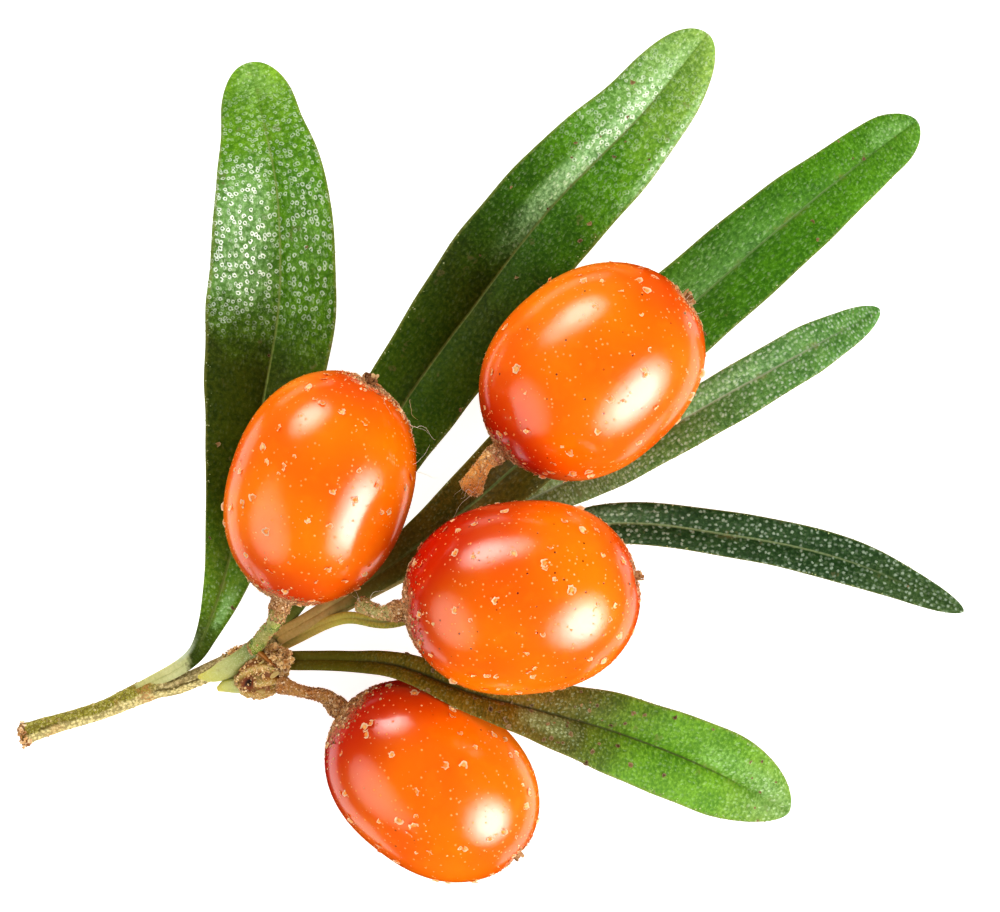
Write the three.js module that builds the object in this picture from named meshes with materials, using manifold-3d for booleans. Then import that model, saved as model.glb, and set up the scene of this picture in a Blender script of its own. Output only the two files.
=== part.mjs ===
// A cut sprig of sea buckthorn, lying flat: one short twig with six strap-shaped leaves and four
// ripe berries. Millimetres, +Z up. The origin is on the surface it lies on, under the middle of
// the sprig; +X runs from the cut end of the twig towards the leaf tips. Each leaf, berry, stalk
// and bud is a closed solid of its own.
import * as THREE from "three";
import { mergeVertices } from "three/addons/utils/BufferGeometryUtils.js";
import Module from "manifold-3d";

const wasm = await Module();
wasm.setup();

// Driving dimensions
const bladeThickness = 0.6;
const ribKeel = 0.22; // how far the midrib stands out under a blade
const ribGroove = 0.12; // how far it is sunk in the upper face
const bladeRows = 24;
const bladeColumns = [-1, -0.68, -0.36, -0.12, 0, 0.12, 0.36, 0.68, 1];
const edgeShare = 0.62; // blade thickness at the margin, as a share of the middle
const tipCrowding = 1.45; // rows are set closer together towards the leaf tip
const tipLeast = 0.16; // width left at the very tip, as a share
const bladeBulge = 0.08; // each half arches up by this share of its width
const wavesAlong = 14; // radians of margin wave over the leaf's length
const waveOffset = 2.1; // the two margins wave this much before and after each other
const stalkToBlade = [0.15, 0.4]; // the leaf stalk widens into the blade over this share of the length
const ribFade = 0.7; // the midrib dies away by this share towards the tip
const neckLength = 0.5; // the flesh runs this far up the stalk
const neckRadius = 0.52;
const berryRings = 18;
const berrySides = 30;
const berryFlattening = 0.985; // across the berry, one way against the other
const stalkSides = 10;
const twigSides = 12;
const jointGap = 0.03; // left between two organs that meet
const calyxRadius = 0.55;
const calyxHeight = 0.4;
const calyxSink = 0.35;
const calyxPoints = 5;
const calyxNotch = 0.28; // how far its points stand out, as a share of the radius
const calyxTaper = 0.35; // how much narrower it is at the top
const calyxLift = 0.12; // its points also stand this much higher
const calyxDip = 0.15; // and its middle is sunk by this much
const budScales = 11;
const budRadii = [1.55, 1.05, 0.9];
const budScaleSize = [0.36, 0.52]; // half width of a bud scale, least and most
const budScaleShape = [1.35, 1, 0.2]; // length and width in half widths, then thickness in millimetres
const budScaleTilt = 0.3;
const budSeed = 7;
const tuft = { centre: [-10.05, -9.66, 3.75], radii: [0.5, 0.44, 0.42] }; // of scurf, beside the bud

const colours = {
  leaf: 0x3f7a2a,
  darkLeaf: 0x2c5530,
  berry: 0xf06a10,
  bark: 0x9a8a4e,
  greenStalk: 0x8f9a5a,
  rustyStalk: 0x9c6a3c,
  bud: 0xa9773f,
  calyx: 0x8c5a34,
};

// Leaves. rib is the midrib from twig to tip. half holds [share of the length, width left, width
// right of the rib]. fold lifts both halves into a V, given as a slope at equal steps from base to
// tip; roll leans the blade, in degrees.
const leaves = {
  leaf_far_left: {
    colour: colours.leaf,
    rib: [
      [-15.9, -10.8, 1.9], [-14.6, -9.9, 2.2], [-13.7, -8.4, 2.3], [-12.7, -5.4, 2.0], [-11.7, -1.1, 1.6],
      [-10.9, 3.1, 1.2], [-10.2, 7.6, 0.9], [-10.3, 12.6, 0.9], [-11.0, 16.3, 1.1], [-11.7, 19.0, 1.6],
    ],
    half: [
      [0, 0.35, 0.35], [0.12, 0.4, 0.4], [0.22, 0.45, 0.65], [0.33, 1.1, 1.35], [0.45, 2.1, 2.0],
      [0.55, 2.95, 2.65], [0.67, 3.5, 2.75], [0.78, 3.05, 2.5], [0.88, 2.15, 1.9], [1, 1.5, 1.5],
    ],
    tip: [0.9, 2.6, 2.2],
    fold: [0.3, 0.6, 0.3, 0.12, 0.08],
    roll: [0, 0, 0, 0, 0],
    wave: 0.12,
  },
  leaf_long: {
    colour: colours.leaf,
    rib: [
      [-9.3, -7.8, 2.9], [-8.1, -5.3, 2.3], [-6.5, -2.0, 1.7], [-4.2, 2.5, 1.35],
      [-0.6, 7.5, 0.9], [2.9, 12.0, 0.45], [7.2, 16.4, 0.7], [10.5, 20.4, 1.6],
    ],
    half: [
      [0, 0.45, 0.45], [0.15, 0.7, 0.7], [0.3, 1.6, 1.7], [0.45, 2.2, 2.6],
      [0.6, 2.7, 2.8], [0.75, 2.6, 2.75], [0.88, 2.1, 2.15], [1, 1.7, 1.4],
    ],
    tip: [0.9, 2.6, 2.1],
    fold: [0.2, 0.2, 0.15],
    roll: [0, 0, 0],
    wave: 0.14,
  },
  leaf_upper_right: {
    colour: colours.leaf,
    rib: [
      [-9.1, -8.0, 2.5], [-6.7, -6.8, 2.7], [-3.1, -4.0, 2.3], [0.5, -1.1, 1.8], [5.3, 3.4, 1.0],
      [9.8, 7.4, 0.43], [14.4, 11.4, 0.43], [17.9, 14.2, 0.9], [20.6, 16.2, 1.5],
    ],
    half: [
      [0, 0.5, 0.5], [0.12, 0.6, 0.6], [0.25, 1.2, 1.1], [0.4, 1.9, 1.6], [0.55, 2.2, 2.1],
      [0.68, 2.15, 2.2], [0.82, 1.75, 1.85], [0.92, 1.45, 1.45], [1, 1.1, 1.2],
    ],
    tip: [0.92, 2.4, 2.0],
    fold: [0.2, 0.2, 0.15],
    roll: [0, 0, 0],
    wave: 0.12,
  },
  leaf_narrow_right: {
    colour: colours.darkLeaf,
    rib: [
      [-9.1, -8.2, 1.8], [-5.3, -6.1, 1.4], [-1.0, -3.6, 0.85], [3.1, -1.5, 0.5],
      [6.3, 0.1, 0.5], [10.9, 2.7, 0.6], [15.6, 5.3, 1.0], [18.8, 7.1, 1.5],
    ],
    half: [
      [0, 0.4, 0.4], [0.15, 0.5, 0.5], [0.35, 0.95, 1.0], [0.5, 1.1, 1.3],
      [0.7, 1.1, 1.45], [0.85, 1.2, 1.25], [0.94, 0.8, 0.85], [1, 0.5, 0.5],
    ],
    tip: [0.95, 2.4, 2.0],
    fold: [0.05, 0.15, 0.3, 0.25],
    roll: [0, 0, 0],
    wave: 0.1,
  },
  leaf_dark_right: {
    colour: colours.darkLeaf,
    rib: [
      [-9.0, -8.5, 2.5], [-7.0, -7.9, 3.0], [-4.4, -7.8, 3.4], [0.5, -5.5, 3.55],
      [5.3, -3.3, 2.6], [11.6, -3.8, 1.6], [17.4, -5.1, 0.8], [22.9, -7.5, 0.5],
    ],
    half: [
      [0, 0.35, 0.35], [0.2, 0.3, 0.3], [0.35, 0.5, 0.5], [0.5, 0.9, 0.95],
      [0.7, 1.1, 1.05], [0.85, 1.1, 1.15], [0.94, 0.75, 0.75], [1, 0.45, 0.4],
    ],
    tip: [0.95, 2.4, 2.0],
    fold: [0.1, 0.3, 0.25],
    roll: [0, 0, 0],
    wave: 0.08,
  },
  leaf_lower_right: {
    colour: colours.leaf,
    rib: [
      [-10.0, -9.85, 3.3], [-7.0, -9.85, 4.2], [-4.3, -10.1, 5.3], [-1.0, -11.3, 5.87],
      [2.4, -12.2, 5.35], [6.2, -13.3, 4.0], [10.6, -15.1, 2.3], [14.4, -17.2, 1.0],
    ],
    half: [
      [0, 0.45, 0.5], [0.15, 0.5, 0.6], [0.3, 0.7, 0.8], [0.45, 1.0, 1.15],
      [0.6, 1.5, 1.75], [0.75, 1.95, 2.15], [0.88, 2.1, 2.0], [1, 1.5, 1.1],
    ],
    tip: [0.9, 2.4, 2.0],
    fold: [0.4, 0.3, 0.2],
    roll: [-20, -25, -20, 0, 0],
    wave: 0.12,
  },
};

// Berries. stalkEnd and farEnd are the ends of the long axis; fullness is the power of the outline,
// 2 for an ellipse. calyx places the dried flower remnant: [degrees off the far end, degrees round
// the axis, size].
const berries = {
  left: {
    stalkEnd: [-9.95, -6.9, 6.4],
    farEnd: [-6.3, 3.9, 7.3],
    radius: 4.38,
    fullness: 2.25,
    calyx: [9, 150, 1],
  },
  upper: {
    stalkEnd: [0.5, 0.3, 6.35],
    farEnd: [9.2, 7.8, 6.5],
    radius: 4.62,
    fullness: 2.3,
    calyx: [5, 150, 1],
  },
  middle: {
    stalkEnd: [-4.1, -7.3, 8.6],
    farEnd: [7.1, -6.1, 8.8],
    radius: 4.58,
    fullness: 2.35,
    calyx: [7, 30, 0.75],
  },
  front: {
    stalkEnd: [-7.1, -12.2, 4.26],
    farEnd: [1.5, -18.97, 4.04],
    radius: 4.2,
    fullness: 2.35,
    calyx: [4, 150, 0.75],
  },
};

// Fruit stalks, from where they grow or broke off to just inside the berry's neck. lastRun follows
// the berry's axis.
const stalks = {
  left: {
    colour: colours.greenStalk,
    from: [[-11.3, -9.2, 3.6], [-10.8, -8.5, 4.6]],
    radii: [0.42, 0.4, 0.45, 0.5],
  },
  upper: { colour: colours.rustyStalk, from: [[-0.95, -1.5, 5.5]], radii: [0.62, 0.42, 0.5] },
  middle: { colour: colours.greenStalk, from: [[-6.2, -7.05, 7.9]], radii: [0.52, 0.4, 0.5] },
  front: {
    colour: colours.rustyStalk,
    from: [[-10.0, -11.0, 3.8], [-9.1, -11.25, 4.05]],
    radii: [0.45, 0.4, 0.42, 0.5],
  },
};
const lastRun = 0.6;

// The woody line and what grows on it
const twig = {
  line: [
    [-22.7, -13.5, 0.49], [-21.0, -12.93, 0.72], [-18.87, -12.3, 1.1], [-16.45, -11.25, 1.6],
    [-14.96, -10.95, 1.85], [-12.0, -9.7, 2.25], [-9.1, -8.15, 2.5],
  ],
  radii: [0.5, 0.46, 0.43, 0.56, 0.44, 0.5, 0.62],
};
const spur = {
  line: [
    [-14.05, -10.62, 2.75], [-13.3, -10.5, 2.95], [-12.43, -10.08, 3.15], [-11.66, -9.5, 3.35],
    [-11.2, -9.05, 3.6],
  ],
  radii: [0.12, 0.42, 0.5, 0.47, 0.42],
};
const bud = { centre: [-10.95, -10.5, 3.2], turn: 0.45 };

// A point list as a smooth curve: uniform Catmull-Rom, ends carried on straight.
function smoothLine(points) {
  return new THREE.CatmullRomCurve3(points.map((p) => new THREE.Vector3(...p)), false, "catmullrom", 0.5);
}

// A value that changes smoothly along equal steps.
function smoothValue(values, t) {
  const line = smoothLine(values.map((v) => [v, 0, 0]));
  return line.getPoint(THREE.MathUtils.clamp(t, 0, 1)).x;
}

function straightValue(values, t) {
  const at = THREE.MathUtils.clamp(t, 0, 1) * (values.length - 1);
  const i = Math.min(Math.floor(at), values.length - 2);
  return THREE.MathUtils.lerp(values[i], values[i + 1], at - i);
}

// Point, direction, level sideways direction (to the left of travel) and upward direction at t.
function frameAt(line, t) {
  const step = 1e-3;
  const point = line.getPoint(t);
  const ahead = line.getPoint(Math.min(t + step, 1)).sub(line.getPoint(Math.max(t - step, 0))).normalize();
  const side = new THREE.Vector3(-ahead.y, ahead.x, 0).normalize();
  return { point, ahead, side, up: new THREE.Vector3().crossVectors(ahead, side) };
}

// Share of the station list's own steps at share t of the length.
function stationAt(stations, t) {
  let i = 0;
  while (i < stations.length - 2 && t > stations[i + 1][0]) i++;
  const [a, b] = [stations[i][0], stations[i + 1][0]];
  return (i + THREE.MathUtils.clamp((t - a) / (b - a), 0, 1)) / (stations.length - 1);
}

// Both half widths at t: smooth between stations, then rounded off towards the tip.
function halfWidths(leaf, t) {
  const s = stationAt(leaf.half, t);
  const [from, power, root] = leaf.tip;
  const x = THREE.MathUtils.clamp((t - from) / (1 - from), 0, 1);
  const round = Math.max(Math.pow(1 - Math.pow(x, power), 1 / root), tipLeast);
  return [1, 2].map((k) => smoothValue(leaf.half.map((h) => h[k]), s) * round);
}

// A blade is a sheet over (t along the rib, v across it), lifted by fold, bulge and wave, and given
// its thickness.
function bladeGeometry(leaf, grow) {
  const line = smoothLine(leaf.rib);
  const positions = [];
  const columns = bladeColumns.length;
  for (let i = 0; i <= bladeRows; i++) {
    const t = 1 - Math.pow(1 - i / bladeRows, tipCrowding);
    const { point, ahead, side, up } = frameAt(line, t);
    if (i === 0 || i === bladeRows) point.addScaledVector(ahead, i === 0 ? -grow : grow);
    const lean = THREE.MathUtils.degToRad(straightValue(leaf.roll, t));
    const across = side.clone().multiplyScalar(Math.cos(lean)).addScaledVector(up, Math.sin(lean));
    const out = up.clone().multiplyScalar(Math.cos(lean)).addScaledVector(side, -Math.sin(lean));
    const [left, right] = halfWidths(leaf, t);
    const fold = straightValue(leaf.fold, t);
    const bladeShare = THREE.MathUtils.smoothstep(t, ...stalkToBlade);
    for (const v of bladeColumns) {
      const far = Math.abs(v);
      const width = (v > 0 ? left : right) + grow;
      const bulge = bladeBulge * width * Math.sin(Math.PI * Math.pow(far, 0.8));
      const ripple = Math.sin(wavesAlong * t + waveOffset * Math.sign(v));
      const lift = width * fold * far + bulge + leaf.wave * bladeShare * far * far * ripple;
      const middle = point.clone().addScaledVector(across, width * v).addScaledVector(out, lift);
      const half = (bladeThickness / 2) * THREE.MathUtils.lerp(1, edgeShare, far * far) + grow;
      const onRib = v === 0 ? 1 - ribFade * t : 0;
      const top = middle.clone().addScaledVector(out, half - ribGroove * onRib * bladeShare);
      const bottom = middle.clone().addScaledVector(out, -half - ribKeel * onRib);
      positions.push(...top.toArray(), ...bottom.toArray());
    }
  }
  const at = (i, j, below) => 2 * (i * columns + j) + below;
  const faces = [];
  const quad = (a, b, c, d) => faces.push(a, b, c, a, c, d);
  for (let i = 0; i < bladeRows; i++) {
    for (let j = 0; j < columns - 1; j++) {
      quad(at(i, j, 0), at(i + 1, j, 0), at(i + 1, j + 1, 0), at(i, j + 1, 0));
      faces.push(at(i, j, 1), at(i + 1, j + 1, 1), at(i + 1, j, 1));
      faces.push(at(i, j, 1), at(i, j + 1, 1), at(i + 1, j + 1, 1));
    }
    quad(at(i, 0, 1), at(i + 1, 0, 1), at(i + 1, 0, 0), at(i, 0, 0));
    const last = columns - 1;
    quad(at(i, last, 0), at(i + 1, last, 0), at(i + 1, last, 1), at(i, last, 1));
  }
  for (let j = 0; j < columns - 1; j++) {
    quad(at(0, j, 0), at(0, j + 1, 0), at(0, j + 1, 1), at(0, j, 1));
    const end = bladeRows;
    quad(at(end, j, 1), at(end, j + 1, 1), at(end, j + 1, 0), at(end, j, 0));
  }
  const geometry = new THREE.BufferGeometry();
  geometry.setAttribute("position", new THREE.Float32BufferAttribute(positions, 3));
  geometry.setIndex(faces);
  return geometry;
}

// A closed cylinder bent along a line, its radius given at equal steps.
function stalkGeometry(line, radii, sides, steps, grow = 0) {
  const curve = smoothLine(line);
  const geometry = new THREE.CylinderGeometry(1, 1, 1, sides, steps);
  const position = geometry.getAttribute("position");
  for (let k = 0; k < position.count; k++) {
    const t = position.getY(k) + 0.5;
    const { point, ahead, side, up } = frameAt(curve, t);
    const radius = smoothValue(radii, t) + grow;
    if (t === 0 || t === 1) point.addScaledVector(ahead, t === 0 ? -grow : grow);
    point.addScaledVector(side, -position.getX(k) * radius);
    point.addScaledVector(up, position.getZ(k) * radius);
    position.setXYZ(k, ...point.toArray());
  }
  return geometry;
}

function berryAxis(berry) {
  const start = new THREE.Vector3(...berry.stalkEnd);
  const along = new THREE.Vector3(...berry.farEnd).sub(start);
  const length = along.length();
  return { start, along: along.normalize(), length };
}

// A berry is an outline turned round its long axis: a full oval, with a short neck towards the stalk.
function berryGeometry(berry, grow = 0) {
  const { start, along, length } = berryAxis(berry);
  const neckEnd = -neckLength - grow;
  const outline = [new THREE.Vector2(0, neckEnd), new THREE.Vector2(neckRadius + grow, neckEnd)];
  for (let i = 1; i < berryRings; i++) {
    const share = (1 - Math.cos((Math.PI * i) / berryRings)) / 2;
    const oval = berry.radius * Math.sqrt(1 - Math.pow(Math.abs(2 * share - 1), berry.fullness));
    outline.push(new THREE.Vector2(oval + grow, share * (length + 2 * grow) - grow));
  }
  outline.push(new THREE.Vector2(0, length + grow));
  const geometry = new THREE.LatheGeometry(outline, berrySides);
  geometry.scale(berryFlattening, 1, 1);
  const turn = new THREE.Quaternion().setFromUnitVectors(new THREE.Vector3(0, 1, 0), along);
  return geometry.applyQuaternion(turn).translate(...start.toArray());
}

// The dried flower remnant: a small five-pointed crown, standing on the far end of the berry.
function calyxGeometry(berry) {
  const { start, along, length } = berryAxis(berry);
  const [off, round] = berry.calyx.slice(0, 2).map(THREE.MathUtils.degToRad);
  const sideways = new THREE.Vector3(-along.y, along.x, 0).normalize().applyAxisAngle(along, round);
  const middle = start.clone().addScaledVector(along, length / 2);
  const shoulder = length / 2 - berry.radius;
  const out = along.clone().multiplyScalar(Math.cos(off)).addScaledVector(sideways, Math.sin(off));
  const foot = middle.clone().addScaledVector(along, shoulder);
  foot.addScaledVector(out, berry.radius - calyxSink * berry.calyx[2]);
  const geometry = new THREE.CylinderGeometry(1, 1, 1, 4 * calyxPoints, 4);
  const position = geometry.getAttribute("position");
  for (let k = 0; k < position.count; k++) {
    const height = position.getY(k) + 0.5;
    const angle = Math.atan2(position.getZ(k), position.getX(k));
    const star = Math.cos(calyxPoints * angle);
    const radius = calyxRadius * (1 - calyxTaper * height) * (1 + calyxNotch * height * star);
    const onAxis = Math.hypot(position.getX(k), position.getZ(k)) < 0.5;
    const rise = (calyxSink + calyxHeight) * (1 + calyxLift * star) - (onAxis ? calyxDip : 0);
    position.setXYZ(k, position.getX(k) * radius, rise * height, position.getZ(k) * radius);
  }
  geometry.scale(berry.calyx[2], berry.calyx[2], berry.calyx[2]);
  const turn = new THREE.Quaternion().setFromUnitVectors(new THREE.Vector3(0, 1, 0), out);
  return geometry.applyQuaternion(turn).translate(...foot.toArray());
}

// Bud scales are flat drops laid round an oval core on a spiral, each jittered by a seeded draw.
function seededDraws(seed) {
  let state = seed;
  return () => {
    state = (state * 16807) % 2147483647;
    return state / 2147483647;
  };
}

function budGeometries(grow = 0) {
  const draw = seededDraws(budSeed);
  const core = new THREE.SphereGeometry(1, 14, 10).scale(...budRadii.map((r) => r + grow));
  const pieces = [core];
  for (let i = 0; i < budScales; i++) {
    const polar = Math.acos(1 - (2 * (i + 0.5)) / budScales);
    const round = i * Math.PI * (3 - Math.sqrt(5));
    const size = THREE.MathUtils.lerp(...budScaleSize, draw());
    const [long, wide, thick] = budScaleShape;
    const scale = new THREE.SphereGeometry(1, 7, 5);
    scale.scale(size * long + grow, size * wide + grow, thick + grow);
    scale.rotateZ(draw() * Math.PI).rotateX(budScaleTilt * (draw() - 0.5));
    const out = new THREE.Vector3().setFromSphericalCoords(1, polar, round);
    scale.applyQuaternion(new THREE.Quaternion().setFromUnitVectors(new THREE.Vector3(0, 0, 1), out));
    const [x, y, z] = budRadii.map((r, k) => r * out.getComponent(k));
    pieces.push(scale.translate(x, y, z));
  }
  const beside = new THREE.SphereGeometry(1, 10, 7).scale(...tuft.radii.map((r) => r + grow));
  return [
    ...pieces.map((g) => g.rotateZ(bud.turn).translate(...bud.centre)),
    beside.translate(...tuft.centre),
  ];
}

function solidOf(geometry) {
  const bare = geometry.clone();
  bare.deleteAttribute("normal");
  bare.deleteAttribute("uv");
  const merged = mergeVertices(bare, 1e-4);
  const vertProperties = new Float32Array(merged.getAttribute("position").array);
  const corners = Array.from(merged.index.array);
  const triVerts = [];
  for (let i = 0; i < corners.length; i += 3) {
    const [a, b, c] = corners.slice(i, i + 3);
    if (a !== b && b !== c && a !== c) triVerts.push(a, b, c);
  }
  const mesh = { numProp: 3, vertProperties, triVerts: new Uint32Array(triVerts) };
  return new wasm.Manifold(new wasm.Mesh(mesh));
}

const joined = (geometries) => geometries.map(solidOf).reduce((all, next) => all.add(next));

// The largest body only, so that a cut leaves no loose scrap.
function largest(solid) {
  return solid.decompose().reduce((best, next) => (next.volume() > best.volume() ? next : best));
}

const ground = solidOf(new THREE.BoxGeometry(80, 80, 10).translate(0, 0, -5));
const sprig = new THREE.Group();

function addPiece(name, solid, colour, roughness) {
  const { numProp, vertProperties, triVerts } = largest(solid.subtract(ground)).getMesh();
  const geometry = new THREE.BufferGeometry();
  geometry.setAttribute("position", new THREE.BufferAttribute(vertProperties.slice(), numProp));
  geometry.setIndex(new THREE.BufferAttribute(triVerts.slice(), 1));
  geometry.computeVertexNormals();
  const material = new THREE.MeshStandardMaterial({ color: colour, roughness, metalness: 0 });
  const mesh = new THREE.Mesh(geometry, material);
  mesh.name = name;
  sprig.add(mesh);
}

// Woody parts: the twig, the green spur that lies along it, and the bud on the spur
const twigSolid = (grow) => solidOf(stalkGeometry(twig.line, twig.radii, twigSides, 26, grow));
const spurSolid = (grow) => solidOf(stalkGeometry(spur.line, spur.radii, stalkSides, 12, grow));
const twigRoom = twigSolid(jointGap);
const spurBody = spurSolid(0).subtract(twigRoom);
const spurRoom = spurSolid(jointGap);
const budBody = joined(budGeometries()).subtract(twigRoom).subtract(spurRoom);
const budRoom = joined(budGeometries(jointGap));
addPiece("twig", twigSolid(0), colours.bark, 0.85);
addPiece("fruit_spur", spurBody, colours.greenStalk, 0.6);
addPiece("spur_bud", budBody, colours.bud, 0.95);

// Berries with their stalks and flower remnants
for (const [place, berry] of Object.entries(berries)) {
  const { start, along } = berryAxis(berry);
  const neckEnd = start.clone().addScaledVector(along, -neckLength);
  const line = [
    ...stalks[place].from,
    neckEnd.clone().addScaledVector(along, -lastRun).toArray(),
    neckEnd.clone().addScaledVector(along, jointGap * 3).toArray(),
  ];
  const berryRoom = solidOf(berryGeometry(berry, jointGap));
  const stalk = solidOf(stalkGeometry(line, stalks[place].radii, stalkSides, 10));
  const growsFrom = spurRoom.add(budRoom).add(twigRoom);
  addPiece("berry_" + place, solidOf(berryGeometry(berry)), colours.berry, 0.25);
  addPiece("stalk_" + place, stalk.subtract(berryRoom).subtract(growsFrom), stalks[place].colour, 0.9);
  addPiece("calyx_" + place, solidOf(calyxGeometry(berry)).subtract(berryRoom), colours.calyx, 0.95);
}

// Leaves: each is cut back where its stalk meets the wood or a leaf stalk set before it
let taken = twigRoom.add(budRoom).add(spurRoom);
for (const [name, leaf] of Object.entries(leaves)) {
  addPiece(name, solidOf(bladeGeometry(leaf, 0)).subtract(taken), leaf.colour, 0.5);
  taken = taken.add(solidOf(bladeGeometry(leaf, jointGap)));
}

export default sprig;
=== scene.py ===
import math

import bpy
import numpy as np
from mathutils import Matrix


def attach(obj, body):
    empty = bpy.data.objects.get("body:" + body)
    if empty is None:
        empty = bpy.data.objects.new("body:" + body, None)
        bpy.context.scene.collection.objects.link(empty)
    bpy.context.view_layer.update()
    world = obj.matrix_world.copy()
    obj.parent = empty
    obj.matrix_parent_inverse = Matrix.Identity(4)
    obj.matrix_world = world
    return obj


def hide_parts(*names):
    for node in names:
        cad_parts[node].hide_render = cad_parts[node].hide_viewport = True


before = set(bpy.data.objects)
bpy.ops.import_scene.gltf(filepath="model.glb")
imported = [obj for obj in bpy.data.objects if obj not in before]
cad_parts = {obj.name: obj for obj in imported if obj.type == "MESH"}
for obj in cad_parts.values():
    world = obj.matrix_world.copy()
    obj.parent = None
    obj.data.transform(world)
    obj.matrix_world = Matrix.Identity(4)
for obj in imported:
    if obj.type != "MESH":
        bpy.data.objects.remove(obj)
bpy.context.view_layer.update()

# Sea buckthorn sprig, lying on a pale floor and seen from straight above.
# Lengths are in millimetres until a mesh is made, then in metres.
mm = 0.001
print("frame loaded:", len(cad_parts), "nodes")


# Curves and frames. Everything is worked out for whole arrays.

# A smooth line through points: uniform Catmull-Rom, the ends carried on straight. t runs from 0 to 1.
def smoothLine(points, t):
    points = np.asarray(points, float)
    spans = len(points) - 1
    padded = np.concatenate([[2 * points[0] - points[1]], points, [2 * points[-1] - points[-2]]])
    place = np.clip(t, 0, 1) * spans
    first = np.minimum(place.astype(int), spans - 1)
    f = (place - first).reshape(-1, *([1] * (points.ndim - 1)))
    a, b, c, d = (padded[first + k] for k in range(4))
    return 0.5 * (2 * b + (c - a) * f + (2 * a - 5 * b + 4 * c - d) * f**2 + (3 * b - a - 3 * c + d) * f**3)


def unit(vectors):
    return vectors / np.maximum(np.linalg.norm(vectors, axis=-1, keepdims=True), 1e-12)


# At each t: the point, the direction, level sideways to its left, and up, which is direction x sideways.
def framesAlong(points, t):
    step = 1e-3
    point = smoothLine(points, t)
    ahead = unit(smoothLine(points, np.minimum(t + step, 1)) - smoothLine(points, np.maximum(t - step, 0)))
    side = unit(np.stack([-ahead[:, 1], ahead[:, 0], 0 * ahead[:, 0]], 1))
    return point, ahead, side, np.cross(ahead, side)


def smoothStep(low, high, x):
    f = np.clip((x - low) / (high - low), 0, 1)
    return f * f * (3 - 2 * f)


# Gentle lumps from about -1 to 1: a sum of sines of x . k, with seeded wave vectors k of about the frequency.
def lumps(seed, points, frequency):
    waves = 7
    draw = np.random.default_rng(seed)
    vectors = unit(draw.normal(size=(waves, points.shape[-1]))) * frequency
    vectors = vectors * draw.uniform(0.6, 1.5, (waves, 1))
    return np.sin(points @ vectors.T + draw.uniform(0, 2 * np.pi, waves)).sum(-1) / waves * 1.6


# Meshes

# Puts points, faces and per-point vectors into a mesh object at the origin.
def meshPiece(name, points, quads, triangles, marks, material, smooth=True):
    mesh = bpy.data.meshes.new(name)
    points = np.asarray(points) * [mm, mm, mm]
    points[:, 2] = np.maximum(points[:, 2], 0)
    corners = np.concatenate([np.ravel(quads), np.ravel(triangles)]).astype(np.int32)
    sizes = np.concatenate([np.full(len(quads), 4), np.full(len(triangles), 3)]).astype(np.int32)
    mesh.vertices.add(len(points))
    mesh.vertices.foreach_set("co", points.astype(np.float32).ravel())
    mesh.loops.add(len(corners))
    mesh.loops.foreach_set("vertex_index", corners)
    mesh.polygons.add(len(sizes))
    mesh.polygons.foreach_set("loop_start", (np.cumsum(sizes) - sizes).astype(np.int32))
    mesh.polygons.foreach_set("use_smooth", np.full(len(sizes), smooth))
    mesh.update(calc_edges=True)
    for mark, values in marks.items():
        layer = mesh.attributes.new(mark, "FLOAT_VECTOR", "POINT")
        layer.data.foreach_set("vector", np.asarray(values, np.float32).ravel())
    mesh.validate()
    mesh.materials.append(material)
    piece = bpy.data.objects.new(name, mesh)
    bpy.context.scene.collection.objects.link(piece)
    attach(piece, "root")
    return piece


# Rows of closed rings, counterclockwise about the way they run, become a skin with a fan over each end.
def ringPiece(name, rings, marks, material):
    rows, sides = rings.shape[:2]
    at = np.arange(rows * sides).reshape(rows, sides)
    turned = np.roll(at, -1, axis=1)
    quads = np.stack([at[:-1], turned[:-1], turned[1:], at[1:]], -1).reshape(-1, 4)
    first, last = rows * sides, rows * sides + 1
    fans = [
        np.stack([np.full(sides, first), turned[0], at[0]], 1),
        np.stack([np.full(sides, last), at[-1], turned[-1]], 1),
    ]

    def withEnds(grid):
        return np.concatenate([grid.reshape(-1, 3), grid[0].mean(0)[None], grid[-1].mean(0)[None]])

    allMarks = {mark: withEnds(values) for mark, values in marks.items()}
    return meshPiece(name, withEnds(rings), quads, np.concatenate(fans), allMarks, material)


# Rings of a round stalk: side cos(a) + up sin(a), times the radius at t, made uneven by lumps.
def tubeRings(line, radii, rows, sides, rough, frequency, seed):
    t = np.linspace(0, 1, rows)
    point, ahead, side, up = framesAlong(line, t)
    angle = np.linspace(0, 2 * np.pi, sides, endpoint=False)
    radius = smoothLine(radii, t)[:, None, None]
    outward = side[:, None] * np.cos(angle)[None, :, None] + up[:, None] * np.sin(angle)[None, :, None]
    rings = point[:, None] + outward * radius
    uneven = 1 + rough * lumps(seed, rings, frequency)[..., None]
    marks = np.stack(np.broadcast_arrays(t[:, None], angle[None] / (2 * np.pi), 0), -1)
    return point[:, None] + outward * radius * uneven, marks


# Random places on a grid of rings, with the outward normal from the cross product of its two directions.
def placesOn(rings, weights, count, draw):
    along = np.gradient(rings, axis=0)
    around = (np.roll(rings, -1, axis=1) - np.roll(rings, 1, axis=1)) / 2
    normal = np.cross(around, along)
    area = np.linalg.norm(normal, axis=-1)
    chance = (area * weights).ravel()
    chosen = draw.choice(chance.size, count, p=chance / chance.sum())
    shift = draw.uniform(-0.5, 0.5, (2, count, 1))
    point, ahead, sideways, out = (grid.reshape(-1, 3)[chosen] for grid in (rings, along, around, normal))
    return point + shift[0] * ahead + shift[1] * sideways, unit(out)


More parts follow.
